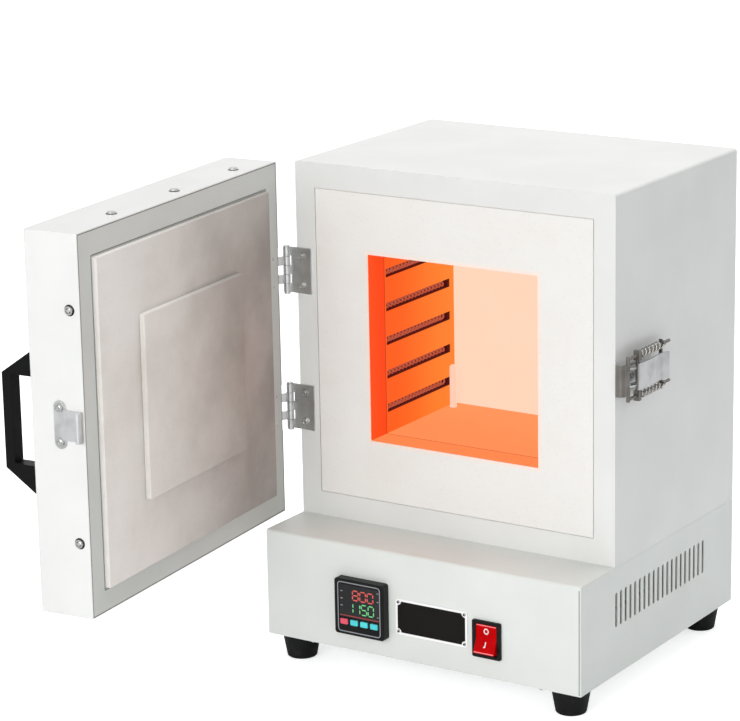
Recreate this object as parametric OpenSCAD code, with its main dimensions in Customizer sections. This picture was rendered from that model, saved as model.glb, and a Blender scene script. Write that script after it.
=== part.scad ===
// Bench-top jewellery kiln: cabinet with a side-hinged door on a control base.
// X right, Y back, Z up, millimetres. Origin on the bench, under the middle of the base.

/* [Cabinet] */
// Width of cabinet, door and base
body_w = 300; // [290:1:330]
// Depth of the cabinet
cabinet_d = 212; // [205:1:240]
// Height of the cabinet
cabinet_h = 304; // [296:1:340]
// Thickness of every folded sheet
sheet_t = 1.2; // [1:0.1:1.5]
// Outside radius of the folded corners
bend_r = 2.4; // [2:0.1:4]
// Width of the window in the front frame
window_w = 262; // [250:1:264]
// Height of the window in the front frame
window_h = 262; // [250:1:264]
// Gap between two sheets that slide into each other
sheet_gap = 0.3; // [0.2:0.1:0.5]

/* [Base] */
// Height of the base, without its feet
base_h = 92; // [88:1:110]
// How far the base stands out in front of the cabinet
base_front = 56; // [50:1:70]
// Number of vent slots in each side
louvre_count = 20; // [10:1:24]
// Distance between two vent slots
louvre_pitch = 8.08; // [7:0.02:9]
// Width of a vent slot
louvre_w = 3.7; // [3:0.1:4.5]
// Height of a vent slot
louvre_h = 29.5; // [20:0.5:34]
// Distance of the vent slots below the deck
louvre_drop = 22; // [18:0.5:26]

/* [Feet] */
// Height of a foot
foot_h = 22; // [18:1:30]
// Radius of a foot at its top
foot_top_r = 16.5; // [14:0.5:18]
// Radius of a foot at the bench
foot_bottom_r = 12.5; // [10:0.5:14]
// Distance of a foot's centre from the edges of the base
foot_inset = 20; // [19:0.5:26]

/* [Chamber] */
// Width of the chamber
chamber_w = 160; // [140:1:164]
// Height of the chamber
chamber_h = 159; // [145:1:164]
// Depth of the heated part, behind the front board
chamber_d = 110; // [104:1:124]
// Thickness of the front board
board_t = 25; // [20:1:28]
// Thickness of the chamber's fibre slabs
slab_t = 22; // [20:0.5:26]
// Distance between two heating slots
slot_pitch = 29; // [27:0.5:30]
// Height of a heating slot
slot_h = 7.6; // [7.4:0.1:9]
// Depth of a heating slot
slot_depth = 10; // [9.5:0.5:11]

/* [Heating coil] */
// Radius of the coil to the middle of its wire
coil_r = 2.3; // [2:0.1:2.4]
// Radius of the heating wire
wire_r = 0.8; // [0.6:0.05:0.9]
// Curls in each slot
coil_turns = 7; // [6:1:7]
// Radius of a lead rod
lead_r = 2; // [1.8:0.1:2.2]

/* [Thermocouple] */
// Radius of the ceramic sheath
sheath_r = 3; // [2.5:0.1:3.5]
// Height of the sheath above the hearth
sheath_h = 38; // [30:1:50]
// Distance of the sheath from the left wall and from the back wall
sheath_inset = 6; // [5:0.5:14]

/* [Door] */
// Thickness of the door
door_t = 48; // [38:1:50]
// Gap between the closed door and the cabinet
door_gap = 6; // [5.5:0.1:7]
// Gap between the door and the deck
door_lift = 2; // [1.5:0.1:4]
// Angle at which the door stands open
door_open = 85; // [0:1:90]
// Height of the board above the door's inner frame
board_rise = 4; // [3:0.1:4.4]
// Height of the plug above the board
plug_rise = 5; // [4:0.1:6]
// Gap between the plug and the mouth, all round
plug_gap = 5; // [3:0.1:8]

/* [Hinges] */
// Radius of the hinge barrel
barrel_r = 3; // [2.8:0.1:3]
// Radius of the hinge pin
hinge_pin_r = 1.5; // [1.3:0.1:1.6]
// Height of a hinge
hinge_h = 39; // [36:1:44]
// Distance of the hinge axis outside the cabinet's side
hinge_out = 8.5; // [8:0.1:9]
// Thickness of a hinge leaf
leaf_t = 1.5; // [1.2:0.1:1.8]
// Distance of each hinge above or below the middle of the cabinet
hinge_span = 59; // [50:1:80]
// Radial clearance of every pin that turns
pin_slack = 0.05; // [0.03:0.01:0.09]

/* [Latch] */
// Height of the latch above the middle of the cabinet
latch_rise = 3; // [0:0.5:12]
// Height of the claw
claw_h = 25; // [22:0.5:26]
// Length that the claw can be pulled against its springs
claw_travel = 10; // [9:0.5:12]
// Radius of a pull rod
rod_r = 1.3; // [1.1:0.1:1.4]
// Distance of each pull rod from the middle of the latch
rod_span = 16.5; // [16:0.1:18]
// Radius of the latch spring to the middle of its wire
spring_r = 3; // [2.8:0.1:3.2]
// Radius of the spring wire
spring_wire_r = 0.6; // [0.5:0.05:0.7]
// Curls of a latch spring
spring_turns = 6; // [4:1:6]

/* [Handle] */
// Distance of the handle's outer face from the door
handle_out = 31; // [30:1:45]
// Width of the handle's bar
handle_w = 12; // [10:0.5:14]
// Thickness of the handle's bar
handle_t = 8; // [6:0.5:10]
// Length of the handle's outer face
handle_grip = 76; // [70:1:100]
// Distance of the handle's middle from the latch side of the door
handle_inset = 14; // [10:0.5:30]

/* [Controls] */
// Side of the controller's square bezel
bezel_w = 48; // [46:0.5:50]
// How far the controller's bezel stands out
bezel_out = 8; // [6:0.5:10]
// Distance of the controller's middle to the left of the base's middle
control_left = 53.5; // [50:0.5:58]
// Travel of a key
key_travel = 0.5; // [0.3:0.1:0.8]
// Width of the rocker switch's bezel
switch_w = 26.5; // [25:0.5:28]
// Height of the rocker switch's bezel
switch_h = 31.6; // [30:0.2:34]
// Angle between the rocker's two positions
rocker_swing = 24; // [16:1:24]
// Distance of the switch's middle to the right of the base's middle
switch_right = 64.3; // [62:0.1:80]
// Width of the name plate
plate_w = 68.4; // [60:0.4:72]
// Height of the name plate
plate_h = 30.8; // [28:0.4:36]

/* [Hidden] */
$fn = 48;
cut = 1;
snug = 0.1;
hw = body_w / 2;
back_y = (cabinet_d + base_front) / 2;
cab_y = back_y - cabinet_d;
deck_z = foot_h + base_h;
top_z = deck_z + cabinet_h;
mid_z = deck_z + cabinet_h / 2;
lip_w = 14;

mouth_y = cab_y + board_t;
rear_y = mouth_y + chamber_d;
muffle_end = rear_y + slab_t;
ch_x = chamber_w / 2;
hearth_z = mid_z - chamber_h / 2;
roof_z = mid_z + chamber_h / 2;
side_x = ch_x + slab_t;
rows = 5;
row_z = [for (i = [0:rows - 1]) mid_z + (i - (rows - 1) / 2) * slot_pitch];
slot_y0 = mouth_y + 2;
slot_y1 = rear_y - 6;
coil_x = ch_x + slot_depth / 2;
coil_y0 = slot_y0 + 4.5;
coil_y1 = slot_y1 - 4.5;
lead_x = side_x + lead_r + 2.2;
block_top = deck_z - 22;
sheath_x = -ch_x + sheath_inset;
sheath_y = rear_y - sheath_inset - 6.5;

axis_x = -hw - hinge_out;
axis_y = cab_y - barrel_r;
face_y = cab_y - door_gap;
pan_y = face_y - door_t;
door_z0 = deck_z + door_lift;
door_z1 = top_z;
frame_y = face_y - sheet_t;
frame_edge = hw - sheet_t - sheet_gap;
lip_d = 29;
board_back = face_y - lip_d + 2;
board_face = face_y + board_rise;
plug_face = board_face + plug_rise;
leaf_y = frame_y - leaf_t;
hinge_z = [mid_z - hinge_span, mid_z + hinge_span];
leaf_right = axis_x + 23;
screw_x = leaf_right - 9;
knuckles = 5;
knuckle_h = hinge_h / knuckles;
top_screws = [-106, -14, 78];
edge_screws = [-90, 93];
top_screw_y = face_y - 15;
edge_screw_y = face_y - 9;

latch_z = mid_z + latch_rise;
pivot_x = hw + 4.5;
pivot_y = cab_y + 12;
yoke_x = pivot_x + 3.5;
yoke_y = pivot_y + 10;
claw_x = hw + 7.2;
claw_t = 1.4;
claw_y = cab_y - 3.5;
claw_r = 4;
claw_end = cab_y + 8;
block_half = 2;
spring_y0 = yoke_y + block_half;
seat_y = cab_y + 61.5;
rod_end = cab_y + 76;
lever_x = yoke_x + rod_r + 1.3;
lever_half = 11;
keeper_y = cab_y - 27.5;
hook_y = cab_y - 10;
hook_r = 3.3;

control_z = foot_h + 40.3;
bezel_y = -back_y - bezel_out;
control_x = -control_left;
case_w = bezel_w - 3.2;
case_d = 78;
key_z = control_z - 12.7;
key_x = [for (i = [0:3]) control_x - 14.55 + i * 9.7];
key_w = 7.3;
key_h = 4.8;
key_gap = 0.3;
lens_z0 = control_z - 9;
lens_z1 = control_z + 19.5;
switch_z = foot_h + 33.2;
rocker_w = switch_w - 7.5;
rocker_h = switch_h - 7.6;
well_w = rocker_w + 0.6;
well_h = rocker_h + 2.4;
body_sw = switch_w - 4.5;
body_sh = switch_h - 3.2;
rocker_y = -back_y + 0.4;
half_swing = rocker_swing / 2;
plate_x = 11.8;
plate_z = foot_h + 38;
inlet_x = lead_x - 14.2;
inlet_z = foot_h + base_h / 2;

// Box between two corners.
module slab(x0, x1, y0, y1, z0, z1) {
    translate([x0, y0, z0]) cube([x1 - x0, y1 - y0, z1 - z0]);
}

// Round bars along the three directions.
module bar_x(r, x0, x1, y, z) {
    translate([x0, y, z]) rotate([0, 90, 0]) cylinder(r = r, h = x1 - x0);
}
module bar_y(r, y0, y1, x, z) {
    translate([x, y1, z]) rotate([90, 0, 0]) cylinder(r = r, h = y1 - y0);
}
module bar_z(r, z0, z1, x, y) {
    translate([x, y, z0]) cylinder(r = r, h = z1 - z0);
}

// Flat shape in X and Z, drawn out along Y.
module along_y(y0, y1) {
    translate([0, y1, 0]) rotate([90, 0, 0]) linear_extrude(height = y1 - y0) children();
}

// Flat shape in Y and Z, drawn out along X.
module along_x(x0, x1) {
    translate([x0, 0, 0]) rotate([90, 0, 90]) linear_extrude(height = x1 - x0) children();
}

// Flat shape in X and Y, drawn out along Z.
module along_z(z0, z1) {
    translate([0, 0, z0]) linear_extrude(height = z1 - z0) children();
}

// Rectangle with four round corners, from its lower left corner.
module round_rect(x, y, w, h, r) {
    translate([x + r, y]) square([w - 2 * r, h]);
    translate([x, y + r]) square([w, h - 2 * r]);
    for (i = [0, 1], j = [0, 1])
        translate([x + r + i * (w - 2 * r), y + r + j * (h - 2 * r)]) circle(r = r);
}

// Slot with round ends, standing on end.
module upright_slot(x, y, w, h) {
    translate([x, y]) square([w, h - w], center = true);
    for (j = [-1, 1])
        translate([x, y + j * (h - w) / 2]) circle(r = w / 2);
}

// Tube round a line of points, with hexagonal rings square to the line.
function unit(v) = v / norm(v);
function run_at(p, i) =
    i == 0 ? unit(p[1] - p[0]) :
    i == len(p) - 1 ? unit(p[i] - p[i - 1]) :
    unit(unit(p[i + 1] - p[i]) + unit(p[i] - p[i - 1]));
function carry(u, t) = unit(u - (u * t) * t);
function frames(p, u, i = 0) =
    i == len(p) ? [] :
    let (t = run_at(p, i), n = carry(u, t))
    concat([n], frames(p, n, i + 1));
sides = 6;
module tube_path(p, r, up) {
    n = frames(p, up);
    pts = [for (i = [0:len(p) - 1], k = [0:sides - 1])
        let (t = run_at(p, i), b = cross(t, n[i]), a = k * 360 / sides)
        p[i] + r * cos(a) * n[i] + r * sin(a) * b];
    last = len(p) - 1;
    walls = [for (i = [0:last - 1], k = [0:sides - 1], h = [0, 1])
        let (a = i * sides + k, b = i * sides + (k + 1) % sides)
        h == 0 ? [b, a, a + sides] : [b, a + sides, b + sides]];
    caps = [for (k = [1:sides - 2], h = [0, 1])
        h == 0 ? [0, k, k + 1] : [last * sides, last * sides + k + 1, last * sides + k]];
    polyhedron(points = pts, faces = concat(walls, caps), convexity = 10);
}

// Least distance between the middle line's points that lie apart along the wire.
function far_gap(p, skip, r) =
    min([for (i = [0:len(p) - 1 - skip])
        min([for (j = [i + skip:len(p) - 1]) norm(p[i] - p[j])])]) - 2 * r;

// Heating coil on the right-hand wall: five rows of curls and a lead at either end.
rings = 8;
function row_points(i) =
    let (back = i % 2 == 0, y0 = back ? coil_y1 : coil_y0, y1 = back ? coil_y0 : coil_y1,
        n = coil_turns * rings)
    [for (k = [0:n])
        let (a = -360 * k / rings)
        [coil_x + coil_r * cos(a), y0 + (y1 - y0) * k / n, row_z[i] - coil_r * sin(a)]];
function rise_points(i) =
    let (y = i % 2 == 0 ? coil_y0 : coil_y1, x = coil_x + coil_r)
    [for (k = [1:3]) [x, y, row_z[i] + slot_pitch * k / 4]];
lead_in = ch_x + slot_depth + 2;
coil_points = concat(
    [[lead_in, coil_y1, row_z[0]], [lead_in - 2 * wire_r, coil_y1, row_z[0]]],
    [for (i = [0:rows - 1]) each concat(row_points(i), i < rows - 1 ? rise_points(i) : [])],
    [[lead_in - 2 * wire_r, coil_y0, row_z[rows - 1]], [lead_in, coil_y0, row_z[rows - 1]]]);
echo(coil_gap_mm = far_gap(coil_points, 5, wire_r));
module coil() {
    color("#8a4a32") tube_path(coil_points, wire_r, [0, 0, 1]);
}
module heating_coil_right() { coil(); }
module heating_coil_left() { mirror([1, 0, 0]) coil(); }

// Latch spring, standing on the yoke and pressed by the seat plate.
spring_end = seat_y - spring_y0;
spring_points = concat(
    [[spring_r, 0, 0], [spring_r, 2 * spring_wire_r, 0]],
    [for (k = [1:spring_turns * rings - 1])
        let (a = 360 * k / rings, d = 4 * spring_wire_r)
        [spring_r * cos(a), d / 2 + (spring_end - d) * k / (spring_turns * rings), spring_r * sin(a)]],
    [[spring_r, spring_end - 2 * spring_wire_r, 0], [spring_r, spring_end, 0]]);
echo(spring_gap_mm = far_gap(spring_points, 5, spring_wire_r));
module latch_springs() {
    color("#c9c7c2")
    for (s = [-1, 1])
        translate([yoke_x, spring_y0, latch_z + s * rod_span])
            tube_path(spring_points, spring_wire_r, [0, 0, 1]);
}

// Cabinet

module lead_holes(r, z0, z1) {
    for (s = [-1, 1], y = [coil_y0, coil_y1])
        bar_z(r, z0, z1, s * lead_x, y);
}

cab_bolts = [for (s = [-1, 1], y = [cab_y + 34, back_y - 24]) [s * (hw - 14), y]];
bolt_r = 2;
module cabinet_wrap() {
    color("#e9ebee")
    difference() {
        union() {
            difference() {
                along_y(cab_y, back_y) {
                    translate([-hw, deck_z]) square([body_w, cabinet_h - bend_r]);
                    translate([-hw + bend_r, deck_z]) square([body_w - 2 * bend_r, cabinet_h]);
                    for (s = [-1, 1])
                        translate([s * (hw - bend_r), top_z - bend_r]) circle(r = bend_r);
                }
                slab(-hw + sheet_t, hw - sheet_t, cab_y + sheet_t, back_y + cut, deck_z - cut,
                    top_z - sheet_t);
                slab(-window_w / 2, window_w / 2, cab_y - cut, back_y, mid_z - window_h / 2,
                    mid_z + window_h / 2);
            }
            difference() {
                slab(-hw + sheet_t, hw - sheet_t, back_y - 2 * sheet_t, back_y - sheet_t,
                    deck_z + 2 * sheet_t, top_z - sheet_t);
                slab(-hw + lip_w, hw - lip_w, cab_y, back_y, deck_z - cut, top_z - lip_w);
            }
        }
        for (z = hinge_z, s = [-1, 1])
            bar_y(screw_r + snug, cab_y - cut, cab_y + 2 * sheet_t, screw_x, z + s * screw_dz);
        rear_holes();
        latch_rivet_holes(rivet_r + snug);
    }
}

rear_pitch = cabinet_h / 2 - 42;
rear_pts = concat([for (s = [-1, 1], z = [-rear_pitch, 0, rear_pitch]) [s * (hw - 8), mid_z + z]],
    [for (x = [-70, 70]) [x, top_z - 8]]);
module rear_holes() {
    for (p = rear_pts)
        bar_y(1.5 + snug, back_y - 3 * sheet_t, back_y + cut, p[0], p[1]);
}

module cabinet_floor() {
    color("#b9bcc0")
    difference() {
        slab(-hw + sheet_t + sheet_gap, hw - sheet_t - sheet_gap, cab_y + sheet_t + sheet_gap,
            back_y - 2 * sheet_t - sheet_gap, deck_z, deck_z + sheet_t);
        lead_holes(lead_r + 1.5, deck_z - cut, deck_z + 2 * sheet_t);
        bar_z(sheath_r + 1, deck_z - cut, deck_z + 2 * sheet_t, sheath_x, sheath_y);
        for (p = cab_bolts)
            bar_z(bolt_r + snug, deck_z - cut, deck_z + 2 * sheet_t, p[0], p[1]);
    }
}

module rear_cover() {
    color("#e1e3e6")
    difference() {
        slab(-hw + sheet_t + sheet_gap, hw - sheet_t - sheet_gap, back_y - sheet_t, back_y,
            deck_z + sheet_gap, top_z - sheet_t - sheet_gap);
        rear_holes();
    }
}

module cabinet_screws() {
    color("#c4c6c8") {
        for (p = rear_pts) {
            bar_y(3, back_y, back_y + 1.8, p[0], p[1]);
            bar_y(1.5, back_y - 3 * sheet_t, back_y, p[0], p[1]);
        }
        for (p = cab_bolts) {
            bar_z(bolt_r, deck_z - sheet_t - 2.4, deck_z + sheet_t + 4, p[0], p[1]);
            bar_z(3.6, deck_z - sheet_t - 2.4, deck_z - sheet_t, p[0], p[1]);
            bar_z(3.6, deck_z + sheet_t, deck_z + sheet_t + 3, p[0], p[1]);
        }
    }
}

// Fibre lining

screw_r = 1.8;
screw_dz = 12.4;
module front_board() {
    g = 0.8;
    color("#d9d2c8")
    difference() {
        union() {
            slab(-window_w / 2 + g, window_w / 2 - g, cab_y, mouth_y, mid_z - window_h / 2 + g,
                mid_z + window_h / 2 - g);
            slab(-hw + sheet_t + 0.5, hw - sheet_t - 0.5, cab_y + sheet_t + snug, mouth_y,
                deck_z + sheet_t, top_z - sheet_t - 0.5);
        }
        slab(-ch_x, ch_x, cab_y - cut, mouth_y + cut, hearth_z, roof_z);
        for (z = hinge_z, s = [-1, 1])
            bar_y(screw_r + snug, cab_y, cab_y + 10, screw_x, z + s * screw_dz);
        latch_pockets();
    }
}

// Right-hand side slab, with its slots, the channels between them and the lead holes.
module muffle_side() {
    color("#e6cdb4")
    difference() {
        slab(ch_x, side_x, mouth_y, muffle_end, hearth_z, roof_z);
        for (z = row_z)
            slab(ch_x - cut, ch_x + slot_depth, slot_y0, slot_y1, z - slot_h / 2, z + slot_h / 2);
        for (i = [0:rows - 2]) {
            y = i % 2 == 0 ? coil_y0 : coil_y1;
            slab(ch_x + 4, ch_x + slot_depth, y - 2.5, y + 2.5, row_z[i], row_z[i + 1]);
        }
        bar_x(lead_r + snug, ch_x + slot_depth - cut, side_x + cut, coil_y1, row_z[0]);
        bar_x(lead_r + snug, ch_x + slot_depth - cut, side_x + cut, coil_y0, row_z[rows - 1]);
    }
}
module muffle_right() { muffle_side(); }
module muffle_left() { mirror([1, 0, 0]) muffle_side(); }

module muffle_roof() {
    color("#e6cdb4") slab(-side_x, side_x, mouth_y, muffle_end, roof_z, roof_z + slab_t);
}

module hearth() {
    color("#e0c0a4")
    difference() {
        slab(-side_x, side_x, mouth_y, muffle_end, hearth_z - slab_t, hearth_z);
        bar_z(sheath_r + snug, hearth_z - slab_t - cut, hearth_z + cut, sheath_x, sheath_y);
    }
}

module muffle_back() {
    color("#ead6c2") slab(-ch_x, ch_x, rear_y, muffle_end, hearth_z, roof_z);
}

module blanket_wrap() {
    g = 0.3;
    color("#f1eee8")
    difference() {
        slab(-hw + sheet_t + g, hw - sheet_t - g, mouth_y + g, muffle_end, deck_z + sheet_t + g,
            top_z - sheet_t - g);
        slab(-side_x - g, side_x + g, mouth_y, muffle_end + cut, hearth_z - slab_t - g,
            roof_z + slab_t + g);
        for (s = [-1, 1]) {
            slab(min(s * side_x, s * (lead_x + lead_r + 0.6)), max(s * side_x, s * (lead_x + lead_r + 0.6)),
                coil_y0 - lead_r - 0.6, coil_y0 + lead_r + 0.6, deck_z, row_z[rows - 1] + lead_r + 0.6);
            slab(min(s * side_x, s * (lead_x + lead_r + 0.6)), max(s * side_x, s * (lead_x + lead_r + 0.6)),
                coil_y1 - lead_r - 0.6, coil_y1 + lead_r + 0.6, deck_z, row_z[0] + lead_r + 0.6);
        }
        bar_z(sheath_r + 0.5, deck_z, hearth_z, sheath_x, sheath_y);
        for (p = cab_bolts)
            bar_z(4.4, deck_z, deck_z + sheet_t + 5, p[0], p[1]);
        latch_pockets();
    }
}

module blanket_back() {
    color("#f1eee8")
    difference() {
        slab(-hw + sheet_t + 0.3, hw - sheet_t - 0.3, muffle_end + 0.3, back_y - 3 * sheet_t - 0.6,
            deck_z + sheet_t + 0.3, top_z - sheet_t - 0.3);
        for (p = cab_bolts)
            bar_z(4.4, deck_z, deck_z + sheet_t + 5, p[0], p[1]);
    }
}

// Lead rods: out through the slab, then down behind it into the base.
module element_leads() {
    color("#b8a89a")
    for (s = [-1, 1])
        mirror([s < 0 ? 1 : 0, 0, 0])
            for (e = [[coil_y1, row_z[0]], [coil_y0, row_z[rows - 1]]]) {
                bar_x(lead_r, lead_in, lead_x, e[0], e[1]);
                translate([lead_x, e[0], e[1]]) sphere(r = lead_r);
                bar_z(lead_r, block_top - 10, e[1], lead_x, e[0]);
            }
}

module thermocouple_sheath() {
    color("#efe9dc") {
        bar_z(sheath_r, deck_z - 12, hearth_z + sheath_h - sheath_r, sheath_x, sheath_y);
        translate([sheath_x, sheath_y, hearth_z + sheath_h - sheath_r]) sphere(r = sheath_r);
    }
}

head_z = deck_z - sheet_t - 18;
module thermocouple_head() {
    color("#8f9499")
    difference() {
        union() {
            bar_z(9, head_z, deck_z - sheet_t, sheath_x, sheath_y);
            slab(sheath_x - 16, sheath_x + 16, sheath_y - 5, sheath_y + 5, deck_z - sheet_t - 2.5,
                deck_z - sheet_t);
        }
        bar_z(sheath_r + snug, deck_z - 12, deck_z, sheath_x, sheath_y);
    }
}

// Door. Its pieces are drawn closed and swung open about the hinge axis.

module swing() {
    translate([axis_x, axis_y, 0]) rotate([0, 0, -door_open]) translate([-axis_x, -axis_y, 0]) children();
}

module door_pan() {
    swing()
    color("#eceef0")
    difference() {
        along_z(door_z0, door_z1) {
            translate([-hw + bend_r, pan_y]) square([body_w - 2 * bend_r, door_t]);
            translate([-hw, pan_y + bend_r]) square([body_w, door_t - bend_r]);
            for (s = [-1, 1])
                translate([s * (hw - bend_r), pan_y + bend_r]) circle(r = bend_r);
        }
        slab(-hw + sheet_t, hw - sheet_t, pan_y + sheet_t, face_y + cut, door_z0 + sheet_t,
            door_z1 - sheet_t);
        door_screw_holes(1.5 + snug);
        leaf_notches(0.3);
        for (z = handle_screws)
            bar_y(2 + snug, pan_y - cut, pan_y + 2 * sheet_t, handle_x, z);
        for (z = keeper_screws_z)
            bar_x(1.5 + snug, hw - 2 * sheet_t, hw + cut, keeper_y, z);
    }
}

module leaf_notches(g) {
    for (z = hinge_z)
        slab(-hw - cut, leaf_right + g, leaf_y - g, frame_y, z - hinge_h / 2 - g, z + hinge_h / 2 + g);
    for (z = hinge_z)
        slab(-hw - cut, -hw + sheet_t + cut, leaf_y - g, face_y + cut, z - hinge_h / 2 - g,
            z + hinge_h / 2 + g);
}

module door_screw_holes(r) {
    for (x = top_screws) {
        bar_z(r, door_z1 - 3 * sheet_t, door_z1 + cut, x, top_screw_y);
        bar_z(r, door_z0 - cut, door_z0 + 3 * sheet_t, x, top_screw_y);
    }
    for (z = edge_screws)
        bar_x(r, hw - 3 * sheet_t, hw + cut, edge_screw_y, mid_z + z);
}

module door_frame() {
    g = sheet_gap;
    swing()
    color("#cfd1cc")
    difference() {
        slab(-frame_edge, frame_edge, face_y - lip_d, face_y, door_z0 + sheet_t + g, door_z1 - sheet_t - g);
        slab(-frame_edge + sheet_t, frame_edge - sheet_t, face_y - lip_d - cut, frame_y,
            door_z0 + 2 * sheet_t + g, door_z1 - 2 * sheet_t - g);
        slab(-window_w / 2, window_w / 2, frame_y - cut, face_y + cut, mid_z - window_h / 2,
            mid_z + window_h / 2);
        door_screw_holes(1.5 + snug);
        for (z = keeper_screws_z)
            bar_x(1.5 + snug, hw - 4 * sheet_t, hw + cut, keeper_y, z);
        for (z = hinge_z)
            slab(-hw, -frame_edge + sheet_t + cut, leaf_y - g, frame_y, z - hinge_h / 2 - g,
                z + hinge_h / 2 + g);
        for (z = hinge_z, s = [-1, 1])
            bar_y(1.5, frame_y - cut, face_y + cut, -hw + 9, z + s * 12);
    }
}

module door_board() {
    g = 0.6;
    swing()
    color("#d8cfc6")
    difference() {
        union() {
            slab(-window_w / 2 + g, window_w / 2 - g, board_back, board_face,
                mid_z - window_h / 2 + g, mid_z + window_h / 2 - g);
            slab(-frame_edge + 2 * sheet_t + 2, frame_edge - 2 * sheet_t - 2, board_back, frame_y - 0.2,
                door_z0 + 2 * sheet_t + 3, door_z1 - 2 * sheet_t - 3);
        }
        for (z = hinge_z)
            slab(-hw, leaf_right + 1, leaf_y - 5, face_y, z - hinge_h / 2 - 1, z + hinge_h / 2 + 1);
    }
}

module door_plug() {
    swing()
    color("#ddd2c6")
    slab(-ch_x + plug_gap, ch_x - plug_gap, board_face, plug_face, hearth_z + plug_gap, roof_z - plug_gap);
}

module door_blanket() {
    g = 0.4;
    swing()
    color("#f1eee8")
    difference() {
        slab(-hw + sheet_t + g, hw - sheet_t - g, pan_y + sheet_t + g, face_y - lip_d - g,
            door_z0 + sheet_t + g, door_z1 - sheet_t - g);
        for (z = handle_screws)
            bar_y(5, pan_y, pan_y + 6, handle_x, z);
    }
}

module door_screws() {
    swing()
    color("#c4c6c8") {
        for (x = top_screws) {
            bar_z(3.4, door_z1, door_z1 + 1.8, x, top_screw_y);
            bar_z(1.5, door_z1 - 3 * sheet_t, door_z1, x, top_screw_y);
            bar_z(1.5, door_z0, door_z0 + 3 * sheet_t, x, top_screw_y);
            bar_z(3.4, door_z0 - 1.2, door_z0, x, top_screw_y);
        }
        for (z = edge_screws) {
            bar_x(3.4, hw, hw + 1.8, edge_screw_y, mid_z + z);
            bar_x(1.5, hw - 3 * sheet_t, hw, edge_screw_y, mid_z + z);
        }
        for (z = handle_screws) {
            bar_y(4, pan_y + sheet_t, pan_y + sheet_t + 2.4, handle_x, z);
            bar_y(2, pan_y - 8, pan_y + sheet_t, handle_x, z);
        }
    }
}

handle_x = hw - handle_inset;
handle_z = mid_z - 2;
handle_rise = handle_out * 0.7;
grip_half = handle_grip / 2;
handle_screws = [for (s = [-1, 1]) handle_z + s * (grip_half + 8)];
module door_handle() {
    foot = grip_half + handle_rise;
    swing()
    color("#161618")
    difference() {
        along_x(handle_x - handle_w / 2, handle_x + handle_w / 2)
            polygon([[pan_y, handle_z - foot], [pan_y, handle_z - grip_half + 4],
                [pan_y - handle_out + handle_t, handle_z - grip_half + 4],
                [pan_y - handle_out + handle_t, handle_z + grip_half - 1], [pan_y,
                    handle_z + grip_half - 1], [pan_y, handle_z + foot],
                [pan_y - handle_out, handle_z + grip_half], [pan_y - handle_out, handle_z - grip_half]]);
        for (z = handle_screws)
            bar_y(2 + snug, pan_y - 9, pan_y + cut, handle_x, z);
    }
}

keeper_screws_z = [for (s = [-1, 1]) latch_z + s * 13.5];
module latch_keeper() {
    swing()
    color("#b4b2ae")
    difference() {
        union() {
            along_x(hw, hw + sheet_t)
                upright_slot(keeper_y, latch_z, 10.4, 38);
            translate([0, 0, latch_z - 12])
                linear_extrude(24) {
                    translate([hw, keeper_y]) square([sheet_t, hook_y - keeper_y]);
                    translate([hw + hook_r, hook_y])
                        difference() {
                            circle(r = hook_r);
                            circle(r = hook_r - sheet_t);
                            translate([-hook_r - 1, -hook_r - 1]) square([2 * hook_r + 2, hook_r + 1]);
                        }
                    translate([hw + 2 * hook_r - sheet_t, hook_y - 0.4]) square([sheet_t, 0.4 + cut]);
                }
        }
        for (z = keeper_screws_z)
            bar_x(1.5 + snug, hw - cut, hw + 2 * sheet_t, keeper_y, z);
    }
}

module keeper_screws() {
    swing()
    color("#c4c6c8")
    for (z = keeper_screws_z) {
        bar_x(3.2, hw + sheet_t, hw + sheet_t + 1.6, keeper_y, z);
        bar_x(1.5, hw - 3 * sheet_t, hw + sheet_t, keeper_y, z);
    }
}

// Hinges: three knuckles on the cabinet's leaf and two on the door's.

module knuckle(z, k, reach) {
    z0 = z - hinge_h / 2 + k * knuckle_h + (k == 0 ? 0 : 0.15);
    z1 = z - hinge_h / 2 + (k + 1) * knuckle_h - (k == knuckles - 1 ? 0 : 0.15);
    difference() {
        union() {
            bar_z(barrel_r, z0, z1, axis_x, axis_y);
            if (reach > 0)
                slab(axis_x, axis_x + 4, cab_y - leaf_t, cab_y, z0, z1);
            if (reach < 0)
                along_z(z0, z1)
                    polygon([[axis_x, face_y], [axis_x, axis_y - 1], [axis_x + 2, axis_y - 1],
                        [axis_x + 3, face_y + leaf_t],
                        [axis_x + 4.2, face_y + leaf_t], [-hw - 0.8, leaf_y + leaf_t], [-hw + 2,
                            leaf_y + leaf_t],
                        [-hw + 2, leaf_y], [-hw - 1.4, leaf_y], [axis_x + 3.6, face_y]]);
        }
        bar_z(hinge_pin_r + pin_slack, z0 - cut, z1 + cut, axis_x, axis_y);
    }
}

module hinge_leaf_cabinet(z) {
    color("#c9c8c4")
    difference() {
        union() {
            for (k = [0, 2, 4])
                knuckle(z, k, 1);
            slab(axis_x + barrel_r + 0.4, leaf_right, cab_y - leaf_t, cab_y, z - hinge_h / 2,
                z + hinge_h / 2);
        }
        for (s = [-1, 1])
            bar_y(screw_r + snug, cab_y - 2 * leaf_t, cab_y + cut, screw_x, z + s * screw_dz);
    }
}
module hinge_leaf_cabinet_upper() { hinge_leaf_cabinet(hinge_z[1]); }
module hinge_leaf_cabinet_lower() { hinge_leaf_cabinet(hinge_z[0]); }

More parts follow.
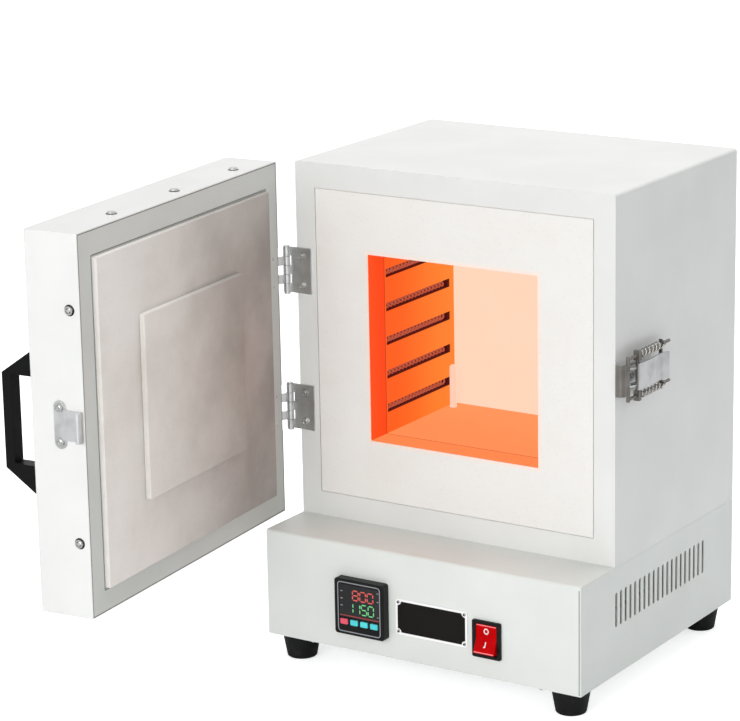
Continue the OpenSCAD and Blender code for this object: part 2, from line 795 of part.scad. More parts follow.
module hinge_leaf_door(z) {
    swing()
    color("#c9c8c4")
    difference() {
        union() {
            for (k = [1, 3])
                knuckle(z, k, -1);
            slab(-hw + 1.8, leaf_right, leaf_y, leaf_y + leaf_t, z - hinge_h / 2, z + hinge_h / 2);
        }
        for (s = [-1, 1])
            bar_y(1.5, leaf_y - cut, leaf_y + 2 * leaf_t, -hw + 9, z + s * 12);
    }
}
module hinge_leaf_door_upper() { hinge_leaf_door(hinge_z[1]); }
module hinge_leaf_door_lower() { hinge_leaf_door(hinge_z[0]); }

module hinge_pins() {
    color("#d6d6d4")
    for (z = hinge_z) {
        bar_z(hinge_pin_r, z - hinge_h / 2, z + hinge_h / 2, axis_x, axis_y);
        for (s = [-1, 1])
            bar_z(barrel_r - 0.4, z + s * hinge_h / 2 - 0.6 + s * 0.6,
                z + s * hinge_h / 2 + 0.6 + s * 0.6, axis_x, axis_y);
    }
}

module hinge_screws() {
    color("#c4c6c8")
    for (z = hinge_z, s = [-1, 1]) {
        bar_y(3.3, cab_y - leaf_t - 1.6, cab_y - leaf_t, screw_x, z + s * screw_dz);
        bar_y(screw_r, cab_y - leaf_t, cab_y + 8, screw_x, z + s * screw_dz);
    }
}

module hinge_rivets() {
    swing()
    color("#c4c6c8")
    for (z = hinge_z, s = [-1, 1]) {
        bar_y(1.5, leaf_y, face_y, -hw + 9, z + s * 12);
        bar_y(2.8, leaf_y - 1, leaf_y, -hw + 9, z + s * 12);
    }
}

// Latch: bracket, lever, yoke and sprung claw on the cabinet's right side.

rivet_r = 1.4;
rivet_y = [pivot_y + 15, pivot_y + 29];
module latch_rivet_holes(r) {
    for (y = rivet_y)
        bar_x(r, hw - 2 * sheet_t, hw + cut, y, latch_z);
}
module latch_pockets() {
    for (y = rivet_y)
        bar_x(3.6, hw - sheet_t - 2.2, hw, y, latch_z);
}

module latch_bracket() {
    color("#bdbbb6")
    difference() {
        union() {
            slab(hw, hw + leaf_t, pivot_y - 4, pivot_y + 36, latch_z - 9, latch_z + 9);
            for (s = [-1, 1])
                translate([0, 0, latch_z + s * 5.2 - 0.75]) linear_extrude(height = leaf_t) {
                    translate([pivot_x, pivot_y]) circle(r = 2.7);
                    translate([hw, pivot_y - 4]) square([4.5, 8]);
                }
        }
        bar_z(1.5, latch_z - 8, latch_z + 8, pivot_x, pivot_y);
        for (y = rivet_y)
            bar_x(rivet_r + snug, hw - cut, hw + 2 * leaf_t, y, latch_z);
    }
}

module latch_rivets() {
    color("#c4c6c8")
    for (y = rivet_y) {
        bar_x(rivet_r, hw - sheet_t - 0.8, hw + leaf_t, y, latch_z);
        bar_x(2.6, hw + leaf_t, hw + leaf_t + 0.9, y, latch_z);
        bar_x(2.6, hw - sheet_t - 1.6, hw - sheet_t, y, latch_z);
    }
}

module latch_pin() {
    color("#d6d6d4") {
        bar_z(1.5, latch_z - 8.4, latch_z + 8.4, pivot_x, pivot_y);
        for (s = [-1, 1])
            bar_z(2.3, latch_z + s * 8.8 - 0.5, latch_z + s * 8.8 + 0.5, pivot_x, pivot_y);
    }
}

ear_z = 7.1;
module latch_lever() {
    color("#dcdbd8")
    difference() {
        union() {
            for (s = [-1, 1])
                translate([0, 0, latch_z + s * ear_z - 0.7]) linear_extrude(height = 1.4) {
                    translate([pivot_x, pivot_y]) circle(r = 2.6);
                    translate([yoke_x, yoke_y]) circle(r = 3);
                    polygon([[pivot_x - 2.2, pivot_y + 1.2], [pivot_x + 2, pivot_y - 1.6],
                        [yoke_x + 2.6, yoke_y - 1.5],
                        [lever_x + 1, yoke_y + 3], [lever_x + 1, yoke_y + 34], [yoke_x - 2, yoke_y + 16]]);
                }
            along_z(latch_z - lever_half, latch_z + lever_half)
                polygon([[lever_x, yoke_y - 4], [lever_x + 1.3, yoke_y - 4], [lever_x + 2.6, yoke_y + 12],
                    [lever_x + 1.3, yoke_y + 30], [lever_x + 1.6, yoke_y + 36], [lever_x + 4.6,
                        yoke_y + 41],
                    [lever_x + 3.6, yoke_y + 42], [lever_x + 0.2, yoke_y + 36.5], [lever_x,
                        yoke_y + 30], [lever_x + 1.3, yoke_y + 12]]);
        }
        bar_z(1.5 + pin_slack, latch_z - 12, latch_z + 12, pivot_x, pivot_y);
        bar_z(1.5 + pin_slack, latch_z - 12, latch_z + 12, yoke_x, yoke_y);
    }
}

module latch_yoke() {
    color("#a9a7a2")
    difference() {
        union() {
            bar_z(1.5, latch_z - rod_span + 2, latch_z + rod_span - 2, yoke_x, yoke_y);
            for (s = [-1, 1])
                slab(yoke_x - 2.6, yoke_x + 2.6, yoke_y - block_half, yoke_y + block_half,
                    latch_z + s * rod_span - 4, latch_z + s * rod_span + 4);
        }
        for (s = [-1, 1])
            bar_y(rod_r + pin_slack, yoke_y - 5, yoke_y + 5, yoke_x, latch_z + s * rod_span);
    }
}

module latch_claw() {
    color("#77736d") {
        translate([claw_x + claw_t - claw_r, claw_y + claw_r, latch_z - claw_h / 2])
            linear_extrude(claw_h) {
                difference() {
                    circle(r = claw_r);
                    circle(r = claw_r - claw_t);
                    translate([-claw_r - 1, -claw_r - 1]) square([claw_r + 1, 2 * claw_r + 2]);
                    translate([-claw_r - 1, 0]) square([2 * claw_r + 2, claw_r + 1]);
                }
                translate([claw_r - claw_t, -cut]) square([claw_t, claw_end - claw_y - claw_r + cut]);
                translate([hw + 1.8 - claw_x - claw_t + claw_r, -claw_r])
                    square([claw_x + claw_t - claw_r - hw - 1.8 + cut, claw_t]);
            }
        for (s = [-1, 1]) {
            bar_z(1.5, min(latch_z + s * (claw_h / 2 - 6), latch_z + s * (rod_span + 1.8)),
                max(latch_z + s * (claw_h / 2 - 6), latch_z + s * (rod_span + 1.8)), yoke_x,
                    claw_end - 1.5);
            bar_y(rod_r, claw_end - 2, rod_end, yoke_x, latch_z + s * rod_span);
        }
        slab(yoke_x - 1.8, yoke_x + 1, seat_y, seat_y + 1.5, latch_z - rod_span - 4,
            latch_z + rod_span + 4);
        for (s = [-1, 1])
            bar_y(2.4, seat_y + 1.5, seat_y + 4.5, yoke_x, latch_z + s * rod_span);
    }
}

// Base

module fold_outline(t) {
    run = 2 * back_y - sheet_t;
    translate([-back_y + t, foot_h - t]) square([run - t, base_h - bend_r + t]);
    translate([-back_y + bend_r, foot_h - t]) square([run - bend_r + t, base_h]);
    translate([-back_y + bend_r, deck_z - bend_r]) circle(r = bend_r - t);
}

module base_cover() {
    color("#d2d4d2")
    difference() {
        union() {
            along_x(-hw, hw)
                difference() {
                    fold_outline(0);
                    fold_outline(sheet_t);
                }
            slab(-hw + 4, hw - 4, -back_y + sheet_t / 2, -back_y + 14, foot_h + sheet_t + sheet_gap,
                foot_h + 2 * sheet_t + sheet_gap);
            slab(-hw + 4, hw - 4, back_y - 2 * sheet_t - sheet_gap, back_y - sheet_t - sheet_gap,
                deck_z - 16, deck_z - sheet_t / 2);
        }
        slab(control_x - case_w / 2 - 0.2, control_x + case_w / 2 + 0.2, -back_y - cut, -back_y + 3,
            control_z - case_w / 2 - 0.2, control_z + case_w / 2 + 0.2);
        slab(switch_right - body_sw / 2 - 0.2, switch_right + body_sw / 2 + 0.2, -back_y - cut, -back_y + 3,
            switch_z - body_sh / 2 - 0.2, switch_z + body_sh / 2 + 0.2);
        lead_holes(lead_r + 1.5, deck_z - 2 * sheet_t, deck_z + cut);
        bar_z(sheath_r + 0.3, deck_z - 2 * sheet_t, deck_z + cut, sheath_x, sheath_y);
        for (p = cab_bolts)
            bar_z(bolt_r + snug, deck_z - 2 * sheet_t, deck_z + cut, p[0], p[1]);
        cover_screw_holes();
        plate_rivet_holes();
    }
}

cover_in = 40;
cover_x = [cover_in - hw, hw - cover_in];
module cover_screw_holes() {
    for (x = cover_x) {
        bar_y(1.5 + snug, back_y - 4 * sheet_t, back_y + cut, x, deck_z - 9);
        bar_z(1.5 + snug, foot_h - cut, foot_h + 3 * sheet_t + 1, x, -back_y + 8);
    }
}

louvre_z = deck_z - louvre_drop - louvre_h / 2;
louvre_y = 1.75;
module base_tray() {
    color("#d6d9dc")
    difference() {
        slab(-hw, hw, -back_y + sheet_t + sheet_gap, back_y, foot_h, deck_z - sheet_t - snug);
        slab(-hw + sheet_t, hw - sheet_t, -back_y - cut, back_y - sheet_t, foot_h + sheet_t, deck_z + cut);
        for (i = [0:louvre_count - 1])
            along_x(-hw - cut, hw + cut)
                upright_slot(louvre_y + (i - (louvre_count - 1) / 2) * louvre_pitch, louvre_z,
                    louvre_w, louvre_h);
        for (x = [-1, 1], y = [-1, 1])
            bar_z(2 + snug, foot_h - cut, foot_h + 2 * sheet_t, x * (hw - foot_inset),
                y * (back_y - foot_inset));
        cover_screw_holes();
        slab(inlet_x - 13.8, inlet_x + 13.8, back_y - 2 * sheet_t, back_y + cut, inlet_z - 10.3,
            inlet_z + 10.3);
        for (s = [-1, 1])
            bar_y(1.5 + snug, back_y - 2 * sheet_t, back_y + cut, inlet_x + s * 20, inlet_z);
    }
}

module base_screws() {
    color("#c4c6c8") {
        for (x = cover_x) {
            bar_y(3, back_y, back_y + 1.8, x, deck_z - 9);
            bar_y(1.5, back_y - 4 * sheet_t, back_y, x, deck_z - 9);
            bar_z(3, foot_h - 1.8, foot_h, x, -back_y + 8);
            bar_z(1.5, foot_h - 1, foot_h + 3 * sheet_t + 1, x, -back_y + 8);
        }
        for (s = [-1, 1]) {
            bar_y(2.8, back_y + 2, back_y + 3.6, inlet_x + s * 20, inlet_z);
            bar_y(1.5, back_y - sheet_t - 2, back_y + 2, inlet_x + s * 20, inlet_z);
        }
        for (x = [-1, 1], z = [-1, 1])
            bar_y(1.2, -back_y - 1.6, -back_y + sheet_t + 1, plate_x + x * (plate_w / 2 - 2.8),
                plate_z + z * (plate_h / 2 - 2.8));
    }
}
module plate_rivet_holes() {
    for (x = [-1, 1], z = [-1, 1])
        bar_y(1.2 + snug, -back_y - 3, -back_y + 3, plate_x + x * (plate_w / 2 - 2.8),
            plate_z + z * (plate_h / 2 - 2.8));
}

module foot(x, y) {
    color("#1b1b1d")
    translate([x * (hw - foot_inset), y * (back_y - foot_inset), 0])
        difference() {
            cylinder(r1 = foot_bottom_r, r2 = foot_top_r, h = foot_h);
            translate([0, 0, -cut]) cylinder(r = 5, h = cut + 9);
            cylinder(r = 2 + snug, h = foot_h + cut);
        }
}
module foot_front_left() { foot(-1, -1); }
module foot_front_right() { foot(1, -1); }
module foot_rear_left() { foot(-1, 1); }
module foot_rear_right() { foot(1, 1); }

module foot_screws() {
    color("#c4c6c8")
    for (x = [-1, 1], y = [-1, 1])
        translate([x * (hw - foot_inset), y * (back_y - foot_inset), 0]) {
            translate([0, 0, 6.6]) cylinder(r = 4, h = 2.4);
            translate([0, 0, 9]) cylinder(r = 2, h = foot_h + sheet_t + 3 - 9);
            translate([0, 0, foot_h + sheet_t]) cylinder(r = 3.6, h = 2.8);
        }
}

// Controls

module controller_case() {
    color("#17181a")
    difference() {
        union() {
            along_y(bezel_y, -back_y)
                round_rect(control_x - bezel_w / 2, control_z - bezel_w / 2, bezel_w, bezel_w, 2.5);
            slab(control_x - case_w / 2, control_x + case_w / 2, -back_y - cut, -back_y + case_d,
                control_z - case_w / 2, control_z + case_w / 2);
        }
        slab(control_x - 19.5, control_x + 19.5, bezel_y - cut, bezel_y + 2, lens_z0, lens_z1);
        for (x = key_x)
            slab(x - key_w / 2 - key_gap, x + key_w / 2 + key_gap, bezel_y - cut, bezel_y + 4,
                key_z - key_h / 2 - key_gap, key_z + key_h / 2 + key_gap);
    }
}

module controller_lens() {
    color("#0b0c0d") slab(control_x - 19.4, control_x + 19.4, bezel_y + 0.4, bezel_y + 2,
        lens_z0 + 0.1, lens_z1 - 0.1);
}

module key(i) {
    slab(key_x[i] - key_w / 2, key_x[i] + key_w / 2, bezel_y - 0.7, bezel_y + 4 - key_travel - 0.1,
        key_z - key_h / 2, key_z + key_h / 2);
}
module key_set() { color("#d6586a") key(0); }
module key_shift() { color("#38b8c4") key(1); }
module key_down() { color("#38b8c4") key(2); }
module key_up() { color("#38b8c4") key(3); }

module name_plate() {
    color("#f0f0ee")
    difference() {
        slab(plate_x - plate_w / 2, plate_x + plate_w / 2, -back_y - 0.8, -back_y,
            plate_z - plate_h / 2, plate_z + plate_h / 2);
        for (x = [-1, 1], z = [-1, 1])
            bar_y(1.4, -back_y - 2, -back_y + cut, plate_x + x * plate_w / 2, plate_z + z * plate_h / 2);
        plate_rivet_holes();
    }
}

module switch_housing() {
    color("#141415")
    difference() {
        union() {
            along_y(-back_y - 2, -back_y)
                round_rect(switch_right - switch_w / 2, switch_z - switch_h / 2, switch_w, switch_h, 1.5);
            slab(switch_right - body_sw / 2, switch_right + body_sw / 2, -back_y - 1, -back_y + 24,
                switch_z - body_sh / 2, switch_z + body_sh / 2);
            for (x = [-6, 0, 6])
                slab(switch_right + x - 0.4, switch_right + x + 0.4, -back_y + 23, -back_y + 31,
                    switch_z - 3, switch_z + 3);
        }
        slab(switch_right - well_w / 2, switch_right + well_w / 2, -back_y - 3, -back_y + 12,
            switch_z - well_h / 2, switch_z + well_h / 2);
        bar_x(1.2 + pin_slack, switch_right - well_w / 2 - 0.8, switch_right + well_w / 2 + 0.8,
            rocker_y, switch_z);
    }
}

module switch_rocker() {
    half = rocker_h / 2;
    color("#d6232b")
    translate([0, rocker_y, switch_z]) rotate([-half_swing, 0, 0]) {
        along_x(switch_right - rocker_w / 2, switch_right + rocker_w / 2) {
            polygon([[-2.2, 0], [-2.2 - half * tan(half_swing), half], [2.6, half - 0.8], [4, 0],
                [2.6, 0.8 - half],
                [-2.2 - half * tan(half_swing), -half]]);
            circle(r = 2.4);
        }
        bar_x(1.2, switch_right - well_w / 2 - 0.6, switch_right + well_w / 2 + 0.6, 0, 0);
    }
}

module power_inlet() {
    color("#17181a") {
        difference() {
            union() {
                along_y(back_y, back_y + 2)
                    round_rect(inlet_x - 25, inlet_z - 12, 50, 24, 3);
                slab(inlet_x - 13.5, inlet_x + 13.5, back_y - 16, back_y + 1, inlet_z - 10, inlet_z + 10);
            }
            slab(inlet_x - 12, inlet_x + 12, back_y - 14, back_y + 3, inlet_z - 8, inlet_z + 8);
            for (s = [-1, 1])
                bar_y(1.5 + snug, back_y - 1, back_y + 3, inlet_x + s * 20, inlet_z);
        }
        for (p = [[-7, -1.5], [0, 2.5], [7, -1.5]])
            slab(inlet_x + p[0] - 1, inlet_x + p[0] + 1, back_y - 14.5, back_y - 5,
                inlet_z + p[1] - 2, inlet_z + p[1] + 2);
        for (p = [-7, 0, 7])
            slab(inlet_x + p - 0.4, inlet_x + p + 0.4, back_y - 24, back_y - 15, inlet_z - 3, inlet_z + 3);
    }
}

// Solid-state relay on its heat sink, and the two terminal bars under the lead rods.
tray_z = foot_h + sheet_t;
sink_x = 40;
sink_y = 24;
module power_unit() {
    color("#8d9093") {
        slab(sink_x - 40, sink_x + 40, sink_y - 30, sink_y + 30, tray_z + 16, tray_z + 20);
        for (i = [0:7])
            slab(sink_x - 40 + i * 11, sink_x - 37 + i * 11, sink_y - 30, sink_y + 30, tray_z, tray_z + 16);
        slab(sink_x - 29, sink_x + 29, sink_y - 22, sink_y + 22, tray_z + 20, tray_z + 43);
    }
    color("#e8e2d4")
    for (s = [-1, 1])
        difference() {
            union() {
                slab(s * lead_x - 9, s * lead_x + 9, coil_y0 - 10, coil_y1 + 10, block_top - 20, block_top);
                for (y = [coil_y0 + 12, coil_y1 - 12])
                    bar_z(4, tray_z, block_top - 20, s * lead_x, y);
            }
            for (y = [coil_y0, coil_y1])
                bar_z(lead_r + snug, block_top - 10, block_top + cut, s * lead_x, y);
        }
}

// Wires as round bars with a ball at each bend.
module wire(p, r) {
    for (i = [0:len(p) - 2]) {
        d = p[i + 1] - p[i];
        translate(p[i]) rotate([0, acos(d[2] / norm(d)), atan2(d[1], d[0])]) cylinder(r = r, h = norm(d));
    }
    for (i = [1:len(p) - 2])
        translate(p[i]) sphere(r = r);
}
module wiring() {
    r = 1.5;
    top = tray_z + 43;
    color("#a33b30") {
        for (s = [-1, 1])
            wire([[sink_x + s * 20, sink_y + s * 10, top], [sink_x + s * 20, sink_y + s * 10, top + 8],
                [s * (lead_x - 14), sink_y + s * 10, top + 8], [s * (lead_x - 14), sink_y + s * 10,
                    block_top - 10],
                [s * (lead_x - 9), sink_y + s * 10, block_top - 10]], r);
        wire([[inlet_x, back_y - 24, inlet_z], [inlet_x, back_y - 40, inlet_z], [inlet_x,
            back_y - 40, tray_z + 12],
            [inlet_x, -60, tray_z + 12], [switch_right, -60, tray_z + 12], [switch_right, -60, switch_z],
            [switch_right, -back_y + 31, switch_z]], r);
        wire([[control_x + 8, -back_y + case_d, control_z], [control_x + 8, sink_y - 10, control_z],
            [sink_x - 29, sink_y - 10, control_z]], r);
        wire([[control_x - 8, -back_y + case_d, control_z], [control_x - 8, sheath_y, control_z],
            [sheath_x, sheath_y, control_z], [sheath_x, sheath_y, head_z]], r);
    }
}

cabinet_wrap();
cabinet_floor();
rear_cover();
cabinet_screws();
front_board();
muffle_left();
muffle_right();
muffle_roof();
hearth();
muffle_back();
blanket_wrap();
blanket_back();
heating_coil_left();
heating_coil_right();
element_leads();
thermocouple_sheath();
thermocouple_head();
door_pan();
door_frame();
door_board();
door_plug();
door_blanket();
door_screws();
door_handle();
latch_keeper();
keeper_screws();
hinge_leaf_cabinet_upper();
hinge_leaf_cabinet_lower();
hinge_leaf_door_upper();
hinge_leaf_door_lower();
hinge_pins();
hinge_screws();
hinge_rivets();
latch_bracket();
latch_rivets();
latch_pin();
latch_lever();
latch_yoke();
latch_springs();
latch_claw();
base_cover();
base_tray();
base_screws();
foot_front_left();
foot_front_right();
foot_rear_left();
foot_rear_right();
foot_screws();
controller_case();
controller_lens();
key_set();
key_shift();
key_down();
key_up();
name_plate();
switch_housing();
switch_rocker();
power_inlet();
power_unit();
wiring();
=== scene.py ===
"""Looks of a bench-top jewellery kiln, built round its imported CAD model.

The frame holds every solid in metres, X right, Y back, Z up. Each sub-assembly is a class that
finishes its own solids and adds the pieces that only the looks need.
"""

import logging
import math
from dataclasses import dataclass
from enum import Enum
from typing import Callable, Dict, Iterable, List, Optional, Sequence, Tuple, Union

import bmesh
import bpy
from mathutils import Matrix, Vector


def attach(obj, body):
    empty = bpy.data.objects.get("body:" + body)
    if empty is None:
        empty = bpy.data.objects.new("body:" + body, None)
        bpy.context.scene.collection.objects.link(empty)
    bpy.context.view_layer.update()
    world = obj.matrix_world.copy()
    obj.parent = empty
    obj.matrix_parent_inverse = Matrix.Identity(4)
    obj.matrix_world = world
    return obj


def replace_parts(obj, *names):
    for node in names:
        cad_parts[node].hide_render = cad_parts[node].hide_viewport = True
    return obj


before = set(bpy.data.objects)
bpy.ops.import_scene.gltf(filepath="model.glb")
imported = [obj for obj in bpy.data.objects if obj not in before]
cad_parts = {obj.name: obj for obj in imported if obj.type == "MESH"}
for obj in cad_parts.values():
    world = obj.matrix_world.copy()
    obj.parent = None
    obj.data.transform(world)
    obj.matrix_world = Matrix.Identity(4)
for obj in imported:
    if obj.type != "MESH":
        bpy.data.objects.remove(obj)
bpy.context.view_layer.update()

log = logging.getLogger("kiln")
MM = 0.001
Flat = Tuple[float, float]
Point = Tuple[float, float, float]
Colour = Tuple[float, float, float]
Spot = Tuple[Point, Point, float, float]


def srgb(r: float, g: float, b: float) -> Colour:
    """Turns a colour of 0 to 255 values into linear light.

    Args:
        r: red, 0 to 255.
        g: green, 0 to 255.
        b: blue, 0 to 255.

    Returns:
        The linear colour, 0 to 1.
    """
    def one(v: float) -> float:
        """Turns one channel into linear light."""
        v = v / 255
        return v / 12.92 if v <= 0.04045 else ((v + 0.055) / 1.055) ** 2.4

    return one(r), one(g), one(b)


class Body(str, Enum):
    """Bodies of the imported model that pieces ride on."""

    KILN = "kiln"
    DOOR = "door"
    LEVER = "lever"
    YOKE = "yoke"
    CLAW = "claw"
    ROCKER = "rocker"


# Materials


class Wire:
    """One output of a shader node, with arithmetic on it.

    Attributes:
        graph: the graph that the node is in.
        socket: the node's output.
    """

    def __init__(self, graph: "Graph", socket: bpy.types.NodeSocket) -> None:
        """Keeps the output and its graph."""
        self.graph = graph
        self.socket = socket

    def _math(self, how: str, *others: "Value") -> "Wire":
        """Adds a Math node that works on this value and the others."""
        return self.graph.node("ShaderNodeMath", 0, {"operation": how}, self, *others)

    def __add__(self, other: "Value") -> "Wire":
        """Returns the sum."""
        return self._math("ADD", other)

    def __sub__(self, other: "Value") -> "Wire":
        """Returns this value less another."""
        return self._math("SUBTRACT", other)

    def __mul__(self, other: "Value") -> "Wire":
        """Returns the product."""
        return self._math("MULTIPLY", other)

    def __rsub__(self, other: float) -> "Wire":
        """Returns a number less this value."""
        return self._math("MULTIPLY_ADD", -1.0, other)

    __radd__ = __add__
    __rmul__ = __mul__

    def absolute(self) -> "Wire":
        """Returns the value without its sign."""
        return self._math("ABSOLUTE")

    def either(self, other: "Value") -> "Wire":
        """Returns the larger of two values."""
        return self._math("MAXIMUM", other)

    def rise(self, start: float, end: float) -> "Wire":
        """Returns 0 below start and 1 above end, smooth in between.

        Args:
            start: value where the rise begins.
            end: value where the rise is over; it may be below start.

        Returns:
            The eased value.
        """
        return self.graph.node(
            "ShaderNodeMapRange", 0, {"interpolation_type": "SMOOTHSTEP"}, self, start, end, 0.0, 1.0)


Value = Union[Wire, float, Sequence[float]]


class Graph:
    """A material under construction, with its coordinates and its surface shader.

    Attributes:
        material: the material.
    """

    def __init__(self, name: str) -> None:
        """Makes an empty material with a surface shader and Object coordinates.

        Args:
            name: the material's name.
        """
        self.material = bpy.data.materials.new(name)
        self.material.use_nodes = True
        self.tree = self.material.node_tree
        self.tree.nodes.clear()
        self.surface = self.tree.nodes.new("ShaderNodeBsdfPrincipled")
        self.output = self.tree.nodes.new("ShaderNodeOutputMaterial")
        self.tree.links.new(self.surface.outputs[0], self.output.inputs[0])
        self.place = self.node("ShaderNodeTexCoord", 3)

    def node(self, kind: str, out: Union[int, str] = 0, props: Optional[dict] = None,
             *inputs: Optional[Value], **named: Value) -> Wire:
        """Adds any shader node.

        Args:
            kind: Blender's name of the node type.
            out: which output to return.
            props: properties of the node.
            *inputs: values or wires for its inputs in order; None skips one.
            **named: values or wires for inputs by name, with _ for a space.

        Returns:
            The output asked for.
        """
        made = self.tree.nodes.new(kind)
        for key, val in (props or {}).items():
            setattr(made, key, val)
        pairs = [(made.inputs[i], v) for i, v in enumerate(inputs) if v is not None]
        pairs += [(made.inputs[k.replace("_", " ")], v) for k, v in named.items()]
        for socket, val in pairs:
            self._feed(socket, val)
        return Wire(self, made.outputs[out])

    def _feed(self, socket: bpy.types.NodeSocket, val: Value) -> None:
        """Links or sets an input.

        Args:
            socket: the input.
            val: a wire, a number or a colour.
        """
        if isinstance(val, Wire):
            self.tree.links.new(val.socket, socket)
        elif isinstance(val, (int, float)):
            socket.default_value = float(val)
        else:
            parts = tuple(val)
            socket.default_value = (*parts, 1.0) if socket.type == "RGBA" and len(parts) == 3 else parts

    def _split(self, vector: Wire) -> Tuple[Wire, Wire, Wire]:
        """Returns a vector's three parts.

        Args:
            vector: the vector.

        Returns:
            Its X, Y and Z.
        """
        parts = self.tree.nodes.new("ShaderNodeSeparateXYZ")
        self.tree.links.new(vector.socket, parts.inputs[0])
        return tuple(Wire(self, s) for s in parts.outputs)

    def axes(self) -> Tuple[Wire, Wire, Wire]:
        """Returns the surface point's X, Y and Z, in metres."""
        return self._split(self.place)

    def facing(self) -> Tuple[Wire, Wire, Wire]:
        """Returns the surface normal's X, Y and Z."""
        return self._split(self.node("ShaderNodeNewGeometry", "Normal"))

    def noise(self, scale: float, detail: float = 3.0, rough: float = 0.5,
              stretch: Point = (1, 1, 1)) -> Wire:
        """Returns fractal noise, 0 to 1.

        Args:
            scale: grains in a metre.
            detail: octaves.
            rough: how strong the finer octaves are.
            stretch: factors on the three coordinates.

        Returns:
            The noise.
        """
        where = self.node("ShaderNodeMapping", 0, None, self.place, Scale=stretch)
        return self.node("ShaderNodeTexNoise", 0, None, where, Scale=scale, Detail=detail, Roughness=rough)

    def cells(self, scale: float) -> Wire:
        """Returns the distance to the nearest of scattered points, with scale points in a metre."""
        return self.node("ShaderNodeTexVoronoi", 0, None, self.place, Scale=scale)

    def blend(self, amount: Value, first: Value, second: Value) -> Wire:
        """Mixes two colours.

        Args:
            amount: 0 for the first, 1 for the second.
            first: one colour.
            second: the other colour.

        Returns:
            The mixed colour.
        """
        mix = self.tree.nodes.new("ShaderNodeMix")
        mix.data_type = "RGBA"
        for socket, val in ((mix.inputs[0], amount), (mix.inputs[6], first), (mix.inputs[7], second)):
            self._feed(socket, val)
        return Wire(self, mix.outputs[2])

    def bump(self, height: Wire, distance: float, strength: float = 1.0) -> Wire:
        """Returns a normal bent by a height.

        Args:
            height: the height, 0 to 1.
            distance: metres that a height of 1 stands for.
            strength: how much of the effect shows.

        Returns:
            The normal.
        """
        return self.node("ShaderNodeBump", 0, None, Strength=strength, Distance=distance, Height=height)

    def set(self, **sockets: Value) -> "Graph":
        """Feeds inputs of the surface shader.

        Args:
            **sockets: values or wires by input name, with _ for a space.

        Returns:
            The graph itself.
        """
        for key, val in sockets.items():
            self._feed(self.surface.inputs[key.replace("_", " ")], val)
        return self


@dataclass(frozen=True)
class Finish:
    """What every finish has.

    Attributes:
        name: the material's name.
        colour: its main colour.
    """

    name: str
    colour: Colour

    def shade_of(self, factor: float, lift: float = 0.0) -> Colour:
        """Returns the colour times a factor, with lift added, held at 1."""
        return tuple(min(1.0, c * factor + lift) for c in self.colour)

    def build(self) -> bpy.types.Material:
        """Makes the material."""
        raise NotImplementedError


@dataclass(frozen=True)
class Paint(Finish):
    """Powder coat: fine orange peel, faint mottling and a slight sheen.

    Attributes:
        gloss: roughness of the coat.
        peel: height of the orange peel, in metres.
        shade: how dark the mottling is.
        shine: strength of the reflections.
    """

    gloss: float = 0.36
    peel: float = 0.00002
    shade: float = 0.05
    shine: float = 0.5

    def build(self) -> bpy.types.Material:
        """Makes the material.

        Returns:
            The new material.
        """
        g = Graph(self.name)
        cloud = g.noise(14, 4)
        tint = g.blend(cloud.rise(0.3, 0.7), self.colour, self.shade_of(1 - self.shade))
        speck = g.noise(900, 2)
        g.set(Base_Color=tint, Roughness=g.noise(60, 3) * 0.12 + (self.gloss - 0.06),
              Specular_IOR_Level=self.shine, Normal=g.bump(speck, self.peel * 6, 0.35))
        return g.material


@dataclass(frozen=True)
class Steel(Finish):
    """Bare or plated steel, with brush lines along one direction.

    Attributes:
        gloss: roughness between the lines.
        lines: factors that draw the brush lines out.
        dull: how far darker stains go.
    """

    gloss: float = 0.28
    lines: Point = (1, 1, 14)
    dull: float = 0.25

    def build(self) -> bpy.types.Material:
        """Makes the material.

        Returns:
            The new material.
        """
        g = Graph(self.name)
        brush = g.noise(900, 4, 0.65, self.lines)
        stain_and_shade = g.noise(70, 4).rise(0.4, 0.75)
        g.set(Base_Color=g.blend(stain_and_shade, self.colour, self.shade_of(1 - self.dull)), Metallic=1.0,
              Roughness=brush * 0.22 + (self.gloss - 0.08) + stain_and_shade * 0.06,
              Normal=g.bump(brush, 0.00004, 0.5))
        return g.material


@dataclass(frozen=True)
class Moulded(Finish):
    """Moulded plastic or rubber with a fine grain.

    Attributes:
        gloss: roughness.
        grain: grains in a metre.
        depth: height of the grain, in metres.
        shine: strength of the reflections.
    """

    gloss: float = 0.45
    grain: float = 1500
    depth: float = 0.00004
    shine: float = 0.2

    def build(self) -> bpy.types.Material:
        """Makes the material.

        Returns:
            The new material.
        """
        g = Graph(self.name)
        skin = g.cells(self.grain)
        wear = g.noise(80, 4).rise(0.5, 0.8)
        g.set(Base_Color=g.blend(wear, self.colour, self.shade_of(1.5, 0.006)),
              Roughness=g.noise(300, 3) * 0.16 + (self.gloss - 0.08),
              Specular_IOR_Level=self.shine, Normal=g.bump(skin, self.depth, 0.4))
        return g.material


@dataclass(frozen=True)
class Glow(Finish):
    """A part that gives its own light.

    Attributes:
        strength: light given off.
    """

    strength: float = 1.0

    def build(self) -> bpy.types.Material:
        """Makes the material.

        Returns:
            The new material.
        """
        g = Graph(self.name)
        flicker = g.noise(220, 2)
        g.set(Base_Color=self.shade_of(0.1), Roughness=flicker * 0.1 + 0.35,
              Emission_Color=g.blend(flicker, self.colour, self.shade_of(0.86)),
              Emission_Strength=self.strength)
        return g.material


